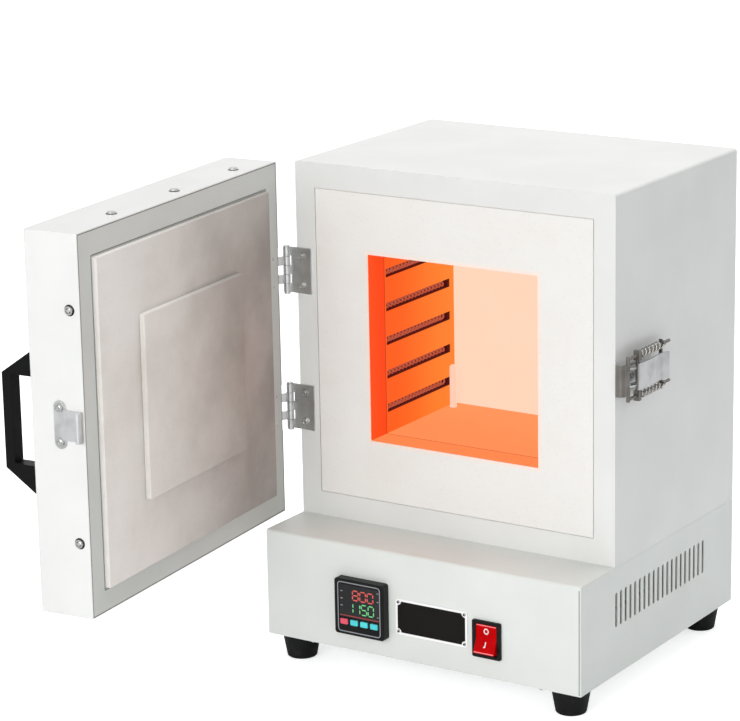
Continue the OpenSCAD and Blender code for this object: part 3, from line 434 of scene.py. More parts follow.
@dataclass(frozen=True)
class Fibre(Finish):
    """Rigid fibre board: soft mottling, small pits and a little lint.

    Attributes:
        warm: colour of the stains.
        rim: half width and half height of the hot mouth, and its middle's height, in metres; 0 for none.
        inside: Y beyond which the board glows.
        wall: thickness of the board, in metres.
        stain_and_shade: Y where a painted shade, darker towards the door's hinge side, starts and where it
            is full, in metres; equal for none.
    """

    warm: Colour = (0.5, 0.42, 0.34)
    rim: Point = (0, 0, 0)
    inside: float = 1.0
    wall: float = 0.025
    stain_and_shade: Flat = (0.0, 0.0)

    def heat(self, g: Graph, tint: Wire, fine: Wire) -> Wire:
        """Makes the mouth's wall glow, and paints a faint glow on the face round it.

        Args:
            g: the material's graph.
            tint: the board's colour so far.
            fine: fine noise.

        Returns:
            The board's colour with the hot part in it.
        """
        x, y, z = g.axes()
        half_w, half_h, mid = self.rim
        out = (x.absolute() - half_w).either((z - mid).absolute() - half_h)
        # Painted light: a faint peach glow on the face within a few millimetres of the mouth, in its
        # colour and in its emission.
        painted_glow = out.rise(0.005, 0.0) * y.rise(self.inside + 0.002, self.inside)
        tint = g.blend(painted_glow * 0.3, tint, srgb(255, 214, 188))
        deep = y.rise(self.inside + 0.0002, self.inside + 0.001) * out.rise(0.001, 0.0)
        hot = g.blend(y.rise(self.inside, self.inside + self.wall), srgb(253, 76, 12), srgb(250, 66, 8))
        hot = g.blend(fine * 0.2, hot, srgb(246, 56, 6))
        # Painted highlight: the mouth's wall is lighter where it looks up.
        hot = g.blend(g.facing()[2].rise(0.4, 0.7), hot, srgb(252, 132, 72))
        joint = y.rise(self.inside + self.wall - 0.001, self.inside + self.wall - 0.0004)
        hot = g.blend(joint, hot, srgb(120, 30, 10))
        glow = g.blend(deep, g.blend(painted_glow * 0.35, (0, 0, 0), srgb(110, 60, 42)), hot)
        g.set(Emission_Color=glow, Emission_Strength=1.0)
        return g.blend(deep, tint, srgb(60, 20, 8))

    def build(self) -> bpy.types.Material:
        """Makes the material.

        Returns:
            The new material.
        """
        g = Graph(self.name)
        patch = g.noise(11, 5, 0.6).rise(0.35, 0.75)
        fine = g.noise(420, 4, 0.6)
        pits = g.cells(330).rise(0.22, 0.05)
        tint = g.blend(patch * 0.5 + fine * 0.18, self.colour, self.warm)
        tint = g.blend(pits * 0.25, tint, tuple(c * 0.6 for c in self.warm))
        # Painted shade: the board darkens along Y towards the door's hinge side, as if less light fell
        # there.
        if self.stain_and_shade[0] != self.stain_and_shade[1]:
            hinge_shade = g.axes()[1].rise(*self.stain_and_shade) * (patch * 0.25 + 0.75)
            tint = g.blend(hinge_shade, tint, tuple(c * 0.44 for c in self.warm))
        g.set(Roughness=fine * 0.1 + 0.84, Normal=g.bump(fine * 0.6 - pits * 0.5, 0.0003, 0.5))
        if self.rim[0]:
            tint = self.heat(g, tint, fine)
        g.set(Base_Color=tint)
        return g.material


@dataclass(frozen=True)
class HotSlab(Finish):
    """A chamber slab at working heat. It glows where it faces the chamber.

    Attributes:
        deep: colour away from the mouth.
        slot: colour inside the heating slots, a painted shade in the grooves.
        face_x: distance of the slab's hot face from the middle, in metres; 0 for a slab with no slots.
        start: Y where the slab begins.
        depth: length of the slab.
    """

    deep: Colour = (1.0, 0.2, 0.02)
    slot: Colour = (0.045, 0.001, 0.002)
    face_x: float = 0.0
    start: float = 0.0
    depth: float = 0.1

    def build(self) -> bpy.types.Material:
        """Makes the material.

        Returns:
            The new material.
        """
        g = Graph(self.name)
        x, y, _ = g.axes()
        run = y.rise(self.start, self.start + self.depth)
        fine = g.noise(260, 4, 0.6)
        cloud = g.noise(24, 3).rise(0.3, 0.75)
        hot = g.blend(run, self.colour, self.deep)
        hot = g.blend(fine * 0.12 + cloud * 0.1, hot, self.shade_of(0.72))
        if self.face_x:
            # Painted shade: beyond the hot face, inside the heating slots, the glow gives way to the dark
            # slot colour.
            inside = (x.absolute() - self.face_x).rise(0.0003, 0.0012)
            hot = g.blend(inside, hot, self.slot)
        g.set(Base_Color=self.shade_of(0.06), Roughness=fine * 0.1 + 0.85,
              Emission_Color=hot, Emission_Strength=1.0, Normal=g.bump(fine, 0.0004, 0.5))
        return g.material


@dataclass(frozen=True)
class Lens(Finish):
    """The display's glossy dark window, with faint lighter smudges."""

    def build(self) -> bpy.types.Material:
        """Makes the material.

        Returns:
            The new material.
        """
        g = Graph(self.name)
        smudge = g.noise(90, 4).rise(0.35, 0.8)
        g.set(Base_Color=g.blend(smudge, self.colour, self.shade_of(1.6, 0.002)),
              Roughness=smudge * 0.1 + 0.08)
        return g.material


class Palette:
    """Every finish of the kiln, each built once.

    Attributes:
        made: materials by finish name.
    """

    def __init__(self) -> None:
        """Starts with no material."""
        self.made: Dict[str, bpy.types.Material] = {}

    def get(self, finish: Finish) -> bpy.types.Material:
        """Returns the finish's material, building it the first time."""
        if finish.name not in self.made:
            self.made[finish.name] = finish.build()
        return self.made[finish.name]


# Mesh tools


def weighted_normals(bm: bmesh.types.BMesh, least: float) -> List[Vector]:
    """Returns corner normals that follow the larger faces, so that wide flat faces shade flat.

    Args:
        bm: the mesh.
        least: cosine of the largest angle between faces that blend.

    Returns:
        One normal for each corner of each face.
    """
    made = []
    areas = {f: f.calc_area() for f in bm.faces}
    for face in bm.faces:
        for corner in face.loops:
            total = Vector()
            for other in corner.vert.link_faces:
                if other.normal.dot(face.normal) > least:
                    total += other.normal * areas[other]
            made.append(total.normalized() if total.length > 0 else face.normal.copy())
    return made


def mesh_object(name: str, bm: bmesh.types.BMesh, body: str, material: bpy.types.Material,
                smooth: float = 35) -> bpy.types.Object:
    """Turns a bmesh into a piece that rides on a body.

    Args:
        name: the piece's name.
        bm: the mesh, in metres; it is freed.
        body: the body to ride on, or its name.
        material: its material.
        smooth: edges sharper than this many degrees stay hard.

    Returns:
        The new object, at the origin.
    """
    bmesh.ops.recalc_face_normals(bm, faces=bm.faces)
    limit = math.radians(smooth)
    for f in bm.faces:
        f.smooth = True
    for e in bm.edges:
        e.smooth = len(e.link_faces) == 2 and e.calc_face_angle(0) < limit
    normals = weighted_normals(bm, math.cos(limit))
    data = bpy.data.meshes.new(name)
    bm.to_mesh(data)
    bm.free()
    data.normals_split_custom_set(normals)
    data.materials.append(material)
    made = bpy.data.objects.new(name, data)
    bpy.context.scene.collection.objects.link(made)
    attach(made, body.value if isinstance(body, Body) else body)
    return made


def new_verts(made: Dict[str, list]) -> List[bmesh.types.BMVert]:
    """Returns the vertices that an extrusion made."""
    return [v for v in made["geom"] if isinstance(v, bmesh.types.BMVert)]


def add_prism(bm: bmesh.types.BMesh, outline: Sequence[Flat], y0: float, y1: float,
              soft: float = 0.0, segments: int = 2) -> None:
    """Adds a flat shape in X and Z, drawn out along Y, with its near edges rounded.

    Args:
        bm: mesh to add to.
        outline: corners, in order.
        y0: near end.
        y1: far end.
        soft: width of the rounding.
        segments: faces across the rounding.
    """
    front = bm.faces.new([bm.verts.new((x, y0, z)) for x, z in outline])
    drawn = bmesh.ops.extrude_face_region(bm, geom=[front])
    bmesh.ops.translate(bm, vec=(0, y1 - y0, 0), verts=new_verts(drawn))
    if soft:
        bmesh.ops.bevel(bm, geom=list(front.edges), offset=soft, segments=segments, profile=0.5,
                        affect="EDGES")


def rounded(cx: float, cz: float, w: float, h: float, r: float, steps: int = 6) -> List[Flat]:
    """Returns the outline of a rectangle with round corners.

    Args:
        cx: middle, first coordinate.
        cz: middle, second coordinate.
        w: width.
        h: height.
        r: corner radius.
        steps: points in each corner.

    Returns:
        Its corners, in order.
    """
    pts = []
    for k, (sx, sz) in enumerate(((1, 1), (-1, 1), (-1, -1), (1, -1))):
        for i in range(steps + 1):
            a = math.radians(90 * k + 90 * i / steps)
            pts.append((cx + sx * (w / 2 - r) + r * math.cos(a), cz + sz * (h / 2 - r) + r * math.sin(a)))
    return pts


def softened(node: str, body: Body, width: float, material: bpy.types.Material,
             segments: int, sharp: float, pick: Optional[Callable[[Vector], bool]]) -> None:
    """Makes a copy of a CAD solid with rounded edges and lets it stand for the solid.

    Args:
        node: the CAD node.
        body: the body it rides on.
        width: width of the rounding, in metres.
        material: its material.
        segments: faces across the rounding.
        sharp: edges sharper than this many degrees are rounded.
        pick: tells from an edge's middle, in metres, whether it is rounded; None rounds every one.
    """
    bm = bmesh.new()
    bm.from_mesh(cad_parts[node].data)
    bmesh.ops.remove_doubles(bm, verts=bm.verts, dist=1e-6)
    bmesh.ops.dissolve_limit(bm, angle_limit=math.radians(0.4), verts=bm.verts, edges=bm.edges)
    edges = [e for e in bm.edges if len(e.link_faces) == 2 and e.calc_face_angle(0) > math.radians(sharp)]
    if pick:
        edges = [e for e in edges if pick((e.verts[0].co + e.verts[1].co) / 2)]
    bmesh.ops.bevel(bm, geom=edges, offset=width, segments=segments, profile=0.5, affect="EDGES",
                    clamp_overlap=True, miter_outer="ARC")
    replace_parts(mesh_object("soft_" + node, bm, body, material, 40), node)


def tube(name: str, lines: Sequence[Sequence[Point]], radius: float, body: Body,
         material: bpy.types.Material, sides: int = 10) -> bpy.types.Object:
    """Makes round wires along lines of points.

    Args:
        name: the piece's name.
        lines: one list of points for each wire.
        radius: the wire's radius.
        body: the body it rides on.
        material: its material.
        sides: corners of each ring.

    Returns:
        The new piece.
    """
    bm = bmesh.new()
    for line in lines:
        pts = [Vector(p) for p in line]
        up = Vector((0, 0, 1))
        places = []
        for i, p in enumerate(pts):
            run = (pts[min(i + 1, len(pts) - 1)] - pts[max(i - 1, 0)]).normalized()
            up = (up - run * up.dot(run)).normalized()
            turn = Matrix((up, run.cross(up), run)).transposed().to_4x4()
            places.append(Matrix.Translation(p) @ turn)
        first = bmesh.ops.create_circle(bm, cap_ends=True, segments=sides, radius=radius,
                                        matrix=places[0])
        edges = list({e for v in first["verts"] for e in v.link_edges})
        for here, there in zip(places, places[1:]):
            drawn = bmesh.ops.extrude_edge_only(bm, edges=edges)
            ring = new_verts(drawn)
            bmesh.ops.transform(bm, matrix=there @ here.inverted(), verts=ring)
            edges = [e for e in drawn["geom"] if isinstance(e, bmesh.types.BMEdge)
                     and e.verts[0] in ring and e.verts[1] in ring]
        bmesh.ops.contextual_create(bm, geom=edges)
    return mesh_object(name, bm, body, material, 60)


def add_head(bm: bmesh.types.BMesh, at: Vector, way: Vector, r: float, h: float, cross: bool) -> None:
    """Adds a domed screw or rivet head.

    Args:
        bm: mesh to add to.
        at: middle of its seat.
        way: direction that it stands out in.
        r: radius.
        h: height of the dome.
        cross: whether it has a cross recess.
    """
    turn = way.to_track_quat("Z", "Y").to_matrix().to_4x4()
    sides, rows = 28, 7
    recess, arm_half, sunk, least = 0.62 * r, 0.13 * r, 0.55 * h, 0.1 * h
    angles = [math.pi / 2 * j / (rows - 1) for j in range(rows - 1)]
    profile = [(r * math.cos(t) ** 0.55, h * math.sin(t)) for t in angles] + [(0.08 * r, h)]
    line = [bm.verts.new((x, 0, z)) for x, z in profile]
    edges = [bm.edges.new(pair) for pair in zip(line, line[1:])]
    before = set(bm.verts) - set(line)
    bmesh.ops.spin(bm, geom=line + edges, cent=(0, 0, 0), axis=(0, 0, 1), angle=2 * math.pi,
                   steps=sides, use_merge=True)
    head = [v for v in bm.verts if v not in before]
    ends = {e for v in head for e in v.link_edges if e.is_boundary}
    bmesh.ops.holes_fill(bm, edges=list(ends), sides=0)
    for v in head:
        out = math.hypot(v.co.x, v.co.y)
        if cross and out < recess and min(abs(v.co.x), abs(v.co.y)) < arm_half:
            v.co.z -= sunk
        v.co.z = max(v.co.z, least)
    bmesh.ops.transform(bm, matrix=Matrix.Translation(at) @ turn, verts=head)


def border(middle: Flat, size: Flat, r: float, line: float, y: float,
           thick: float = 0.06) -> bmesh.types.BMesh:
    """Makes a thin line round a rounded rectangle on a face that looks along -Y.

    Args:
        middle: X and Z of its middle, in millimetres.
        size: its outer width and height.
        r: its outer corner radius.
        line: width of the line.
        y: Y of the face.
        thick: how far it stands out.

    Returns:
        The mesh, in metres.
    """
    bm = bmesh.new()
    inner = (size[0] - 2 * line, size[1] - 2 * line)
    outlines = (rounded(*middle, *size, r), rounded(*middle, *inner, max(r - line, 0.05)))
    loops = []
    for pts in outlines:
        ring = [bm.verts.new((x * MM, (y + 0.02) * MM, z * MM)) for x, z in pts]
        loops.append([bm.edges.new((a, b)) for a, b in zip(ring, ring[1:] + ring[:1])])
    flat = bmesh.ops.bridge_loops(bm, edges=loops[0] + loops[1])
    drawn = bmesh.ops.extrude_face_region(bm, geom=flat["faces"])
    bmesh.ops.translate(bm, vec=(0, -(thick + 0.02) * MM, 0), verts=new_verts(drawn))
    return bm


def heads(name: str, spots: Iterable[Spot], body: Body, material: bpy.types.Material,
          cross: bool) -> None:
    """Makes domed heads over the CAD solids' flat ones.

    Args:
        name: the piece's name.
        spots: seat, direction, radius and height of each head, in millimetres.
        body: the body they ride on.
        material: their material.
        cross: whether they have a cross recess.
    """
    bm = bmesh.new()
    for at, way, r, h in spots:
        add_head(bm, Vector(at) * MM, Vector(way).normalized(), r * MM, h * MM, cross)
    mesh_object(name, bm, body, material, 40)


# Sizes that the scene shares with the solids, in millimetres


@dataclass(frozen=True)
class Sizes:
    """The kiln's main sizes, as in the part's source.

    Attributes:
        half_w: half the cabinet's width.
        cab_y: the cabinet's front.
        top_z: the cabinet's top.
        mid_z: height of the chamber's middle.
        mouth_half: half width and half height of the mouth.
        slab_y: front end of the chamber's slabs.
        slab_run: their length.
        rear_y: outer face of the rear cover.
        axis: X and Y of the door's hinge line.
        open_deg: how far the door stands open at rest.
        latch_z: height of the latch's middle.
    """

    half_w: float = 150.0
    cab_y: float = -78.0
    top_z: float = 418.0
    mid_z: float = 266.0
    mouth_half: Flat = (80.0, 79.5)
    slab_y: float = -53.0
    slab_run: float = 110.0
    rear_y: float = 135.2
    axis: Flat = (-158.5, -81.0)
    open_deg: float = 85.0
    latch_z: float = 269.0

    def door_point(self, x: float, y: float, z: float) -> Point:
        """Turns a point of the closed door into the open one.

        Args:
            x: X on the closed door.
            y: Y on the closed door.
            z: height.

        Returns:
            The point with the door at rest.
        """
        a = math.radians(self.open_deg)
        dx, dy = x - self.axis[0], y - self.axis[1]
        return (self.axis[0] + dx * math.cos(a) + dy * math.sin(a),
                self.axis[1] - dx * math.sin(a) + dy * math.cos(a), z)

    def door_turn(self) -> Matrix:
        """Returns the turn from the closed door to the open one, in metres."""
        axis = Matrix.Translation((self.axis[0] * MM, self.axis[1] * MM, 0))
        return axis @ Matrix.Rotation(-math.radians(self.open_deg), 4, "Z") @ axis.inverted()

    def door_way(self, x: float, y: float) -> Point:
        """Turns a level direction of the closed door into the open one."""
        a = math.radians(self.open_deg)
        return (x * math.cos(a) + y * math.sin(a), -x * math.sin(a) + y * math.cos(a), 0.0)


S = Sizes()

# Finishes

SHELL = Paint("shell_paint", srgb(233, 233, 230))
BASE_PAINT = Paint("base_paint", srgb(228, 231, 226))
FRAME_PAINT = Paint("inner_frame_paint", srgb(206, 209, 204), gloss=0.42)
ZINC = Paint("zinc_sheet", srgb(150, 152, 154), gloss=0.45, shade=0.2)
BLACK_PAINT = Paint("black_paint", srgb(10, 10, 11), gloss=0.42, shade=0.1, shine=0.12)
PLATE = Paint("plate_edge", srgb(253, 253, 252), gloss=0.3, shade=0.02)
PRINT = Paint("plate_print", srgb(24, 21, 18), gloss=0.5, peel=0.00001, shade=0.08, shine=0.1)
SEAM = Paint("seam_shadow", srgb(120, 121, 116), gloss=0.6, shine=0.1)
WHITE_INK = Paint("white_ink", srgb(240, 240, 238), gloss=0.4)
GREY_INK = Paint("grey_ink", srgb(150, 154, 158), gloss=0.4)

EVEN = (1, 1, 1)
STAINLESS = Steel("stainless", srgb(208, 209, 208))
DARK_STEEL = Steel("dark_steel", srgb(128, 124, 119), gloss=0.3)
FASTENER = Steel("fastener", srgb(200, 200, 198), gloss=0.24, lines=EVEN)
SPRING = Steel("spring_wire", srgb(190, 187, 182), gloss=0.22, lines=EVEN)
SCREW = Steel("door_screw", srgb(150, 148, 142), gloss=0.2, lines=EVEN)
# Dark steel: the name plate's rivets, and a painted shadow ring round each door screw.
SCREW_SHADE_AND_RIVET = Steel("screw_shade_and_dark_rivet", srgb(52, 52, 50), gloss=0.4, lines=EVEN)
HEAT_SINK = Steel("heat_sink", srgb(140, 143, 146), gloss=0.35)

BOARD = Fibre("front_board", srgb(239, 237, 233), srgb(233, 227, 219),
              rim=(S.mouth_half[0] * MM, S.mouth_half[1] * MM, S.mid_z * MM), inside=S.cab_y * MM)
# The door's board and plug get a painted shade that darkens them towards the hinge side.
DOOR_BOARD = Fibre("door_board", srgb(240, 236, 231), srgb(214, 207, 199), stain_and_shade=(-0.38, -0.10))
PLUG = Fibre("door_plug", srgb(240, 236, 230), srgb(214, 208, 199), stain_and_shade=(-0.36, -0.13))
BLANKET = Fibre("blanket", srgb(236, 232, 225), srgb(214, 206, 196))

SLAB_Y, SLAB_RUN = S.slab_y * MM, S.slab_run * MM
# The side slabs' third colour is a painted shade inside their heating slots.
SIDE_SLAB = HotSlab("side_slab", srgb(255, 92, 22), srgb(255, 132, 44), srgb(58, 8, 10),
                    S.mouth_half[0] * MM, SLAB_Y, SLAB_RUN)
ROOF_SLAB = HotSlab("roof_slab", srgb(255, 96, 30), srgb(255, 140, 60), start=SLAB_Y, depth=SLAB_RUN)
HEARTH_SLAB = HotSlab("hearth_slab", srgb(255, 140, 82), srgb(255, 146, 86), start=SLAB_Y, depth=SLAB_RUN)
BACK_SLAB = HotSlab("back_slab", srgb(254, 213, 186), srgb(254, 213, 186), start=57 * MM, depth=22 * MM)
COIL_GLOW = Glow("coil_glow", srgb(206, 92, 66), 0.75)
CERAMIC = Glow("hot_ceramic", srgb(255, 208, 184), 0.95)

PLASTIC = Moulded("black_plastic", srgb(12, 12, 12), gloss=0.4)
RUBBER = Moulded("black_rubber", srgb(16, 16, 17), gloss=0.6, grain=700, depth=0.00008)
KEY_RED = Moulded("key_red", srgb(232, 92, 112), gloss=0.4)
KEY_BLUE = Moulded("key_blue", srgb(84, 214, 220), gloss=0.4)
ROCKER = Moulded("rocker_red", srgb(190, 2, 6), gloss=0.3, depth=0.00001, shine=0.03)
# A painted highlight for the bright edges at the rocker's top and bottom.
ROCKER_HIGHLIGHT = Moulded("rocker_edge_highlight", srgb(255, 132, 136), gloss=0.3, depth=0.00001)
WIRE_RED = Moulded("wire_skin", srgb(150, 40, 34), gloss=0.4)

LENS = Lens("display_window", srgb(12, 14, 16))
RED_DIGITS = Glow("red_digits", srgb(226, 92, 84))
GREEN_DIGITS = Glow("green_digits", srgb(112, 214, 138))
RED_LINE = Glow("red_line", srgb(176, 62, 58), 0.8)


# Sub-assemblies

UP, DOWN, FRONT, BACK = (0, 0, 1), (0, 0, -1), (0, -1, 0), (0, 1, 0)


@dataclass
class Assembly:
    """Base of the kiln's sub-assemblies. Their sizes are in millimetres.

    Attributes:
        palette: where materials come from.
    """

    palette: Palette

    def paint(self, finish: Finish, *nodes: str) -> None:
        """Gives CAD nodes a finish.

        Args:
            finish: the finish.
            *nodes: names of CAD nodes.
        """
        for n in nodes:
            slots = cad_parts[n].material_slots
            for one in slots:
                one.material = self.palette.get(finish)
            if not slots:
                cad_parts[n].data.materials.append(self.palette.get(finish))

    def soften(self, node: str, body: Body, width: float, finish: Finish, slot: str, segments: int = 2,
               sharp: float = 30, pick: Optional[Callable[[Vector], bool]] = None) -> None:
        """Rounds a CAD node's edges.

        Args:
            node: the CAD node.
            body: the body it rides on.
            width: width of the rounding, in millimetres.
            finish: its finish.
            slot: name of a material slot; not used.
            segments: faces across the rounding.
            sharp: edges sharper than this many degrees are rounded.
            pick: tells from an edge's middle whether it is rounded.
        """
        softened(node, body, width * MM, self.palette.get(finish), segments, sharp, pick)

    def screws(self, name: str, spots: Iterable[Spot], body: Body, finish: Finish = FASTENER,
               cross: bool = True) -> None:
        """Makes the domed heads of a group of fasteners.

        Args:
            name: the piece's name.
            spots: seat, direction, radius and height of each head.
            body: the body they ride on.
            finish: their finish.
            cross: whether they have a cross recess.
        """
        heads(name, spots, body, self.palette.get(finish), cross)

    def build(self) -> None:
        """Finishes the solids and adds the pieces."""
        raise NotImplementedError


@dataclass
class Cabinet(Assembly):
    """Painted wrap, its window frame, floor, rear cover and the fibre lining.

    Attributes:
        row_x: distance of the side rows of screws from the middle.
        row_z: heights of a row's screws, from the chamber's middle.
        top_x: X of the screws along the top.
        top_drop: how far they sit below the top.
        head: radius and height of a head.
    """

    row_x: float = 142
    row_z: Tuple[float, ...] = (-110, 0, 110)
    top_x: Tuple[float, ...] = (-70, 70)
    top_drop: float = 8
    head: Flat = (3.1, 1.7)

    def build(self) -> None:
        """Rounds the sheet and the lining and adds the rear screws."""
        self.soften("cabinet_wrap", Body.KILN, 0.8, SHELL, "shell", 3)
        self.soften("rear_cover", Body.KILN, 0.3, SHELL, "shell")
        self.paint(ZINC, "cabinet_floor")
        self.soften("front_board", Body.KILN, 0.8, BOARD, "fibre", sharp=40)
        self.soften("blanket_wrap", Body.KILN, 2.0, BLANKET, "blanket", 3, 60)
        self.soften("blanket_back", Body.KILN, 3.0, BLANKET, "blanket", 3, 60)
        self.paint(FASTENER, "cabinet_screws")
        seats = [(s * self.row_x, S.rear_y, S.mid_z + z) for s in (-1, 1) for z in self.row_z]
        seats += [(x, S.rear_y, S.top_z - self.top_drop) for x in self.top_x]
        self.screws("rear_screw_heads", [(at, BACK, *self.head) for at in seats], Body.KILN)


@dataclass
class Chamber(Assembly):
    """The glowing slabs, the heating coils and the thermocouple.

    Attributes:
        rows: slots in a side wall.
        pitch: height from one slot to the next.
        half_run: half the length of a row, along Y.
        axis_x: distance of a coil's axis from the chamber's middle.
        radius: radius of the coil's middle line.
        wire: radius of the wire.
        turns: turns in a row.
        rings: points in a turn.
        tail_x: X where a tail starts and where it meets the coil.
    """

    rows: int = 5
    pitch: float = 29
    half_run: float = 46.5
    axis_x: float = 85.0
    radius: float = 2.3
    wire: float = 0.8
    turns: int = 17
    rings: int = 12
    tail_x: Flat = (92, 90.4)

    def coil_line(self, side: int) -> List[Point]:
        """Returns the middle line of one coil, in metres.

        Args:
            side: 1 for the right-hand wall, -1 for the left.

        Returns:
            Its points, from the upper tail down to the lower one.
        """
        levels = [S.mid_z + (i - (self.rows - 1) / 2) * self.pitch for i in range(self.rows)]
        near, far, n = -self.half_run, self.half_run, self.rings * self.turns
        pts: List[Point] = [(x, far, levels[0]) for x in self.tail_x]
        for i, z in enumerate(levels):
            a_y, b_y = (far, near) if i % 2 == 0 else (near, far)
            for k in range(n + 1):
                a = -2 * math.pi * k / self.rings
                pts.append((self.axis_x + self.radius * math.cos(a), a_y + (b_y - a_y) * k / n,
                            z - self.radius * math.sin(a)))
            if i < self.rows - 1:
                pts += [(self.axis_x + self.radius, b_y, z + self.pitch * k / 6) for k in range(1, 6)]
        pts += [(x, near, levels[-1]) for x in reversed(self.tail_x)]
        return [(side * x * MM, y * MM, z * MM) for x, y, z in pts]

    def build(self) -> None:
        """Gives the slabs their heat and winds the coils."""
        self.soften("muffle_left", Body.KILN, 0.5, SIDE_SLAB, "muffle")
        self.soften("muffle_right", Body.KILN, 0.5, SIDE_SLAB, "muffle")
        for finish, node in ((ROOF_SLAB, "muffle_roof"), (HEARTH_SLAB, "hearth"),
                             (BACK_SLAB, "muffle_back"), (COIL_GLOW, "element_leads"),
                             (PLASTIC, "thermocouple_head"), (CERAMIC, "thermocouple_sheath")):
            self.paint(finish, node)
        for name, side in (("left", -1), ("right", 1)):
            wire = tube("coil_wire_" + name, [self.coil_line(side)], self.wire * MM, Body.KILN,
                        self.palette.get(COIL_GLOW))
            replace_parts(wire, "heating_coil_" + name)


@dataclass
class Door(Assembly):
    """Door pan, inner frame, board and plug, handle, keeper and their screws.

    The places are those of the closed door.

    Attributes:
        top_x: X of the screws on the top edge.
        top_y: Y of those screws.
        edge_y: Y of the screws on the latch edge.
        edge_z: their heights, from the chamber's middle.
        radius: radius of a screw head.
        shade_ring: radius and height of the dark disc under each screw head, a painted shadow round it.
        keeper: X and Y of the keeper's screws.
        keeper_z: their distance above and below the latch's middle.
        keeper_head: radius and height of their heads.
        face_y: inner face of the door, where the seams lie.
        seams: name, outer size and middle height of each seam.
        seam: corner radius and width of a seam.
    """

    top_x: Tuple[float, ...] = (-106, -14, 78)
    top_y: float = -99
    edge_y: float = -93
    edge_z: Tuple[float, ...] = (-90, 93)
    radius: float = 3.5
    shade_ring: Flat = (4.5, 0.5)
    keeper: Flat = (151.2, -105.5)
    keeper_z: float = 13.5
    keeper_head: Flat = (3.4, 2.1)
    face_y: float = -84
    seams: Tuple[Tuple[str, Flat, float], ...] = (
        ("frame_seam", (298.4, 300.4), 267), ("board_seam", (264.6, 264.6), 266))
    seam: Flat = (1.0, 0.8)

    def build(self) -> None:
        """Rounds the door's pieces and adds its screws and seams."""
        self.soften("door_pan", Body.DOOR, 0.45, SHELL, "shell")
        self.soften("door_frame", Body.DOOR, 0.3, FRAME_PAINT, "inner_frame")
        self.soften("door_board", Body.DOOR, 0.9, DOOR_BOARD, "fibre", 3)
        self.soften("door_plug", Body.DOOR, 1.1, PLUG, "fibre", 3)
        self.soften("door_blanket", Body.DOOR, 1.5, BLANKET, "blanket", 3, 60)
        self.soften("door_handle", Body.DOOR, 1.0, BLACK_PAINT, "black_paint", 3, 12)
        self.soften("latch_keeper", Body.DOOR, 0.25, STAINLESS, "stainless")
        self.paint(FASTENER, "door_screws", "keeper_screws", "hinge_rivets")
        side = S.door_way(1, 0)
        top = [(S.door_point(x, self.top_y, S.top_z), UP, self.radius, 1.7) for x in self.top_x]
        edge = [(S.door_point(S.half_w, self.edge_y, S.mid_z + z), side, self.radius, 2.3)
                for z in self.edge_z]
        self.screws("door_screw_heads", top + edge, Body.DOOR, SCREW)
        # Painted shadow: a dark disc under each door screw head shows as a ring round it.
        rings = [(at, way, *self.shade_ring) for at, way, _, _ in top + edge]
        self.screws("door_screw_shade_rings", rings, Body.DOOR, SCREW_SHADE_AND_RIVET, False)
        for name, size, mid in self.seams:
            line = border((0, mid), size, *self.seam, self.face_y)
            line.transform(S.door_turn())
            mesh_object(name, line, Body.DOOR, self.palette.get(SEAM), 30)
        keep = [(S.door_point(*self.keeper, S.latch_z + z), side, *self.keeper_head)
                for z in (-self.keeper_z, self.keeper_z)]
        self.screws("keeper_screw_heads", keep, Body.DOOR)


@dataclass
class Hinges(Assembly):
    """Both butt hinges.

    Attributes:
        screw_x: X of the screws on the cabinet's leaves.
        leaf: thickness of a leaf.
        half_span: distance of a hinge's middle from the chamber's middle.
        half_gap: distance of a screw from its hinge's middle.
        head: radius and height of a head.
    """

    screw_x: float = -144.5
    leaf: float = 1.5
    half_span: float = 59
    half_gap: float = 12.4
    head: Flat = (3.5, 1.9)

    def build(self) -> None:
        """Rounds the leaves and pins and adds the cabinet's screws."""
        for n in ("upper", "lower"):
            self.soften("hinge_leaf_cabinet_" + n, Body.KILN, 0.2, STAINLESS, "stainless")
            self.soften("hinge_leaf_door_" + n, Body.DOOR, 0.2, STAINLESS, "stainless")
        self.soften("hinge_pins", Body.KILN, 0.4, STAINLESS, "stainless")
        self.paint(FASTENER, "hinge_screws")
        seats = [(self.screw_x, S.cab_y - self.leaf, S.mid_z + h + g)
                 for h in (-self.half_span, self.half_span) for g in (-self.half_gap, self.half_gap)]
        self.screws("hinge_screw_heads", [(at, FRONT, *self.head) for at in seats], Body.KILN)


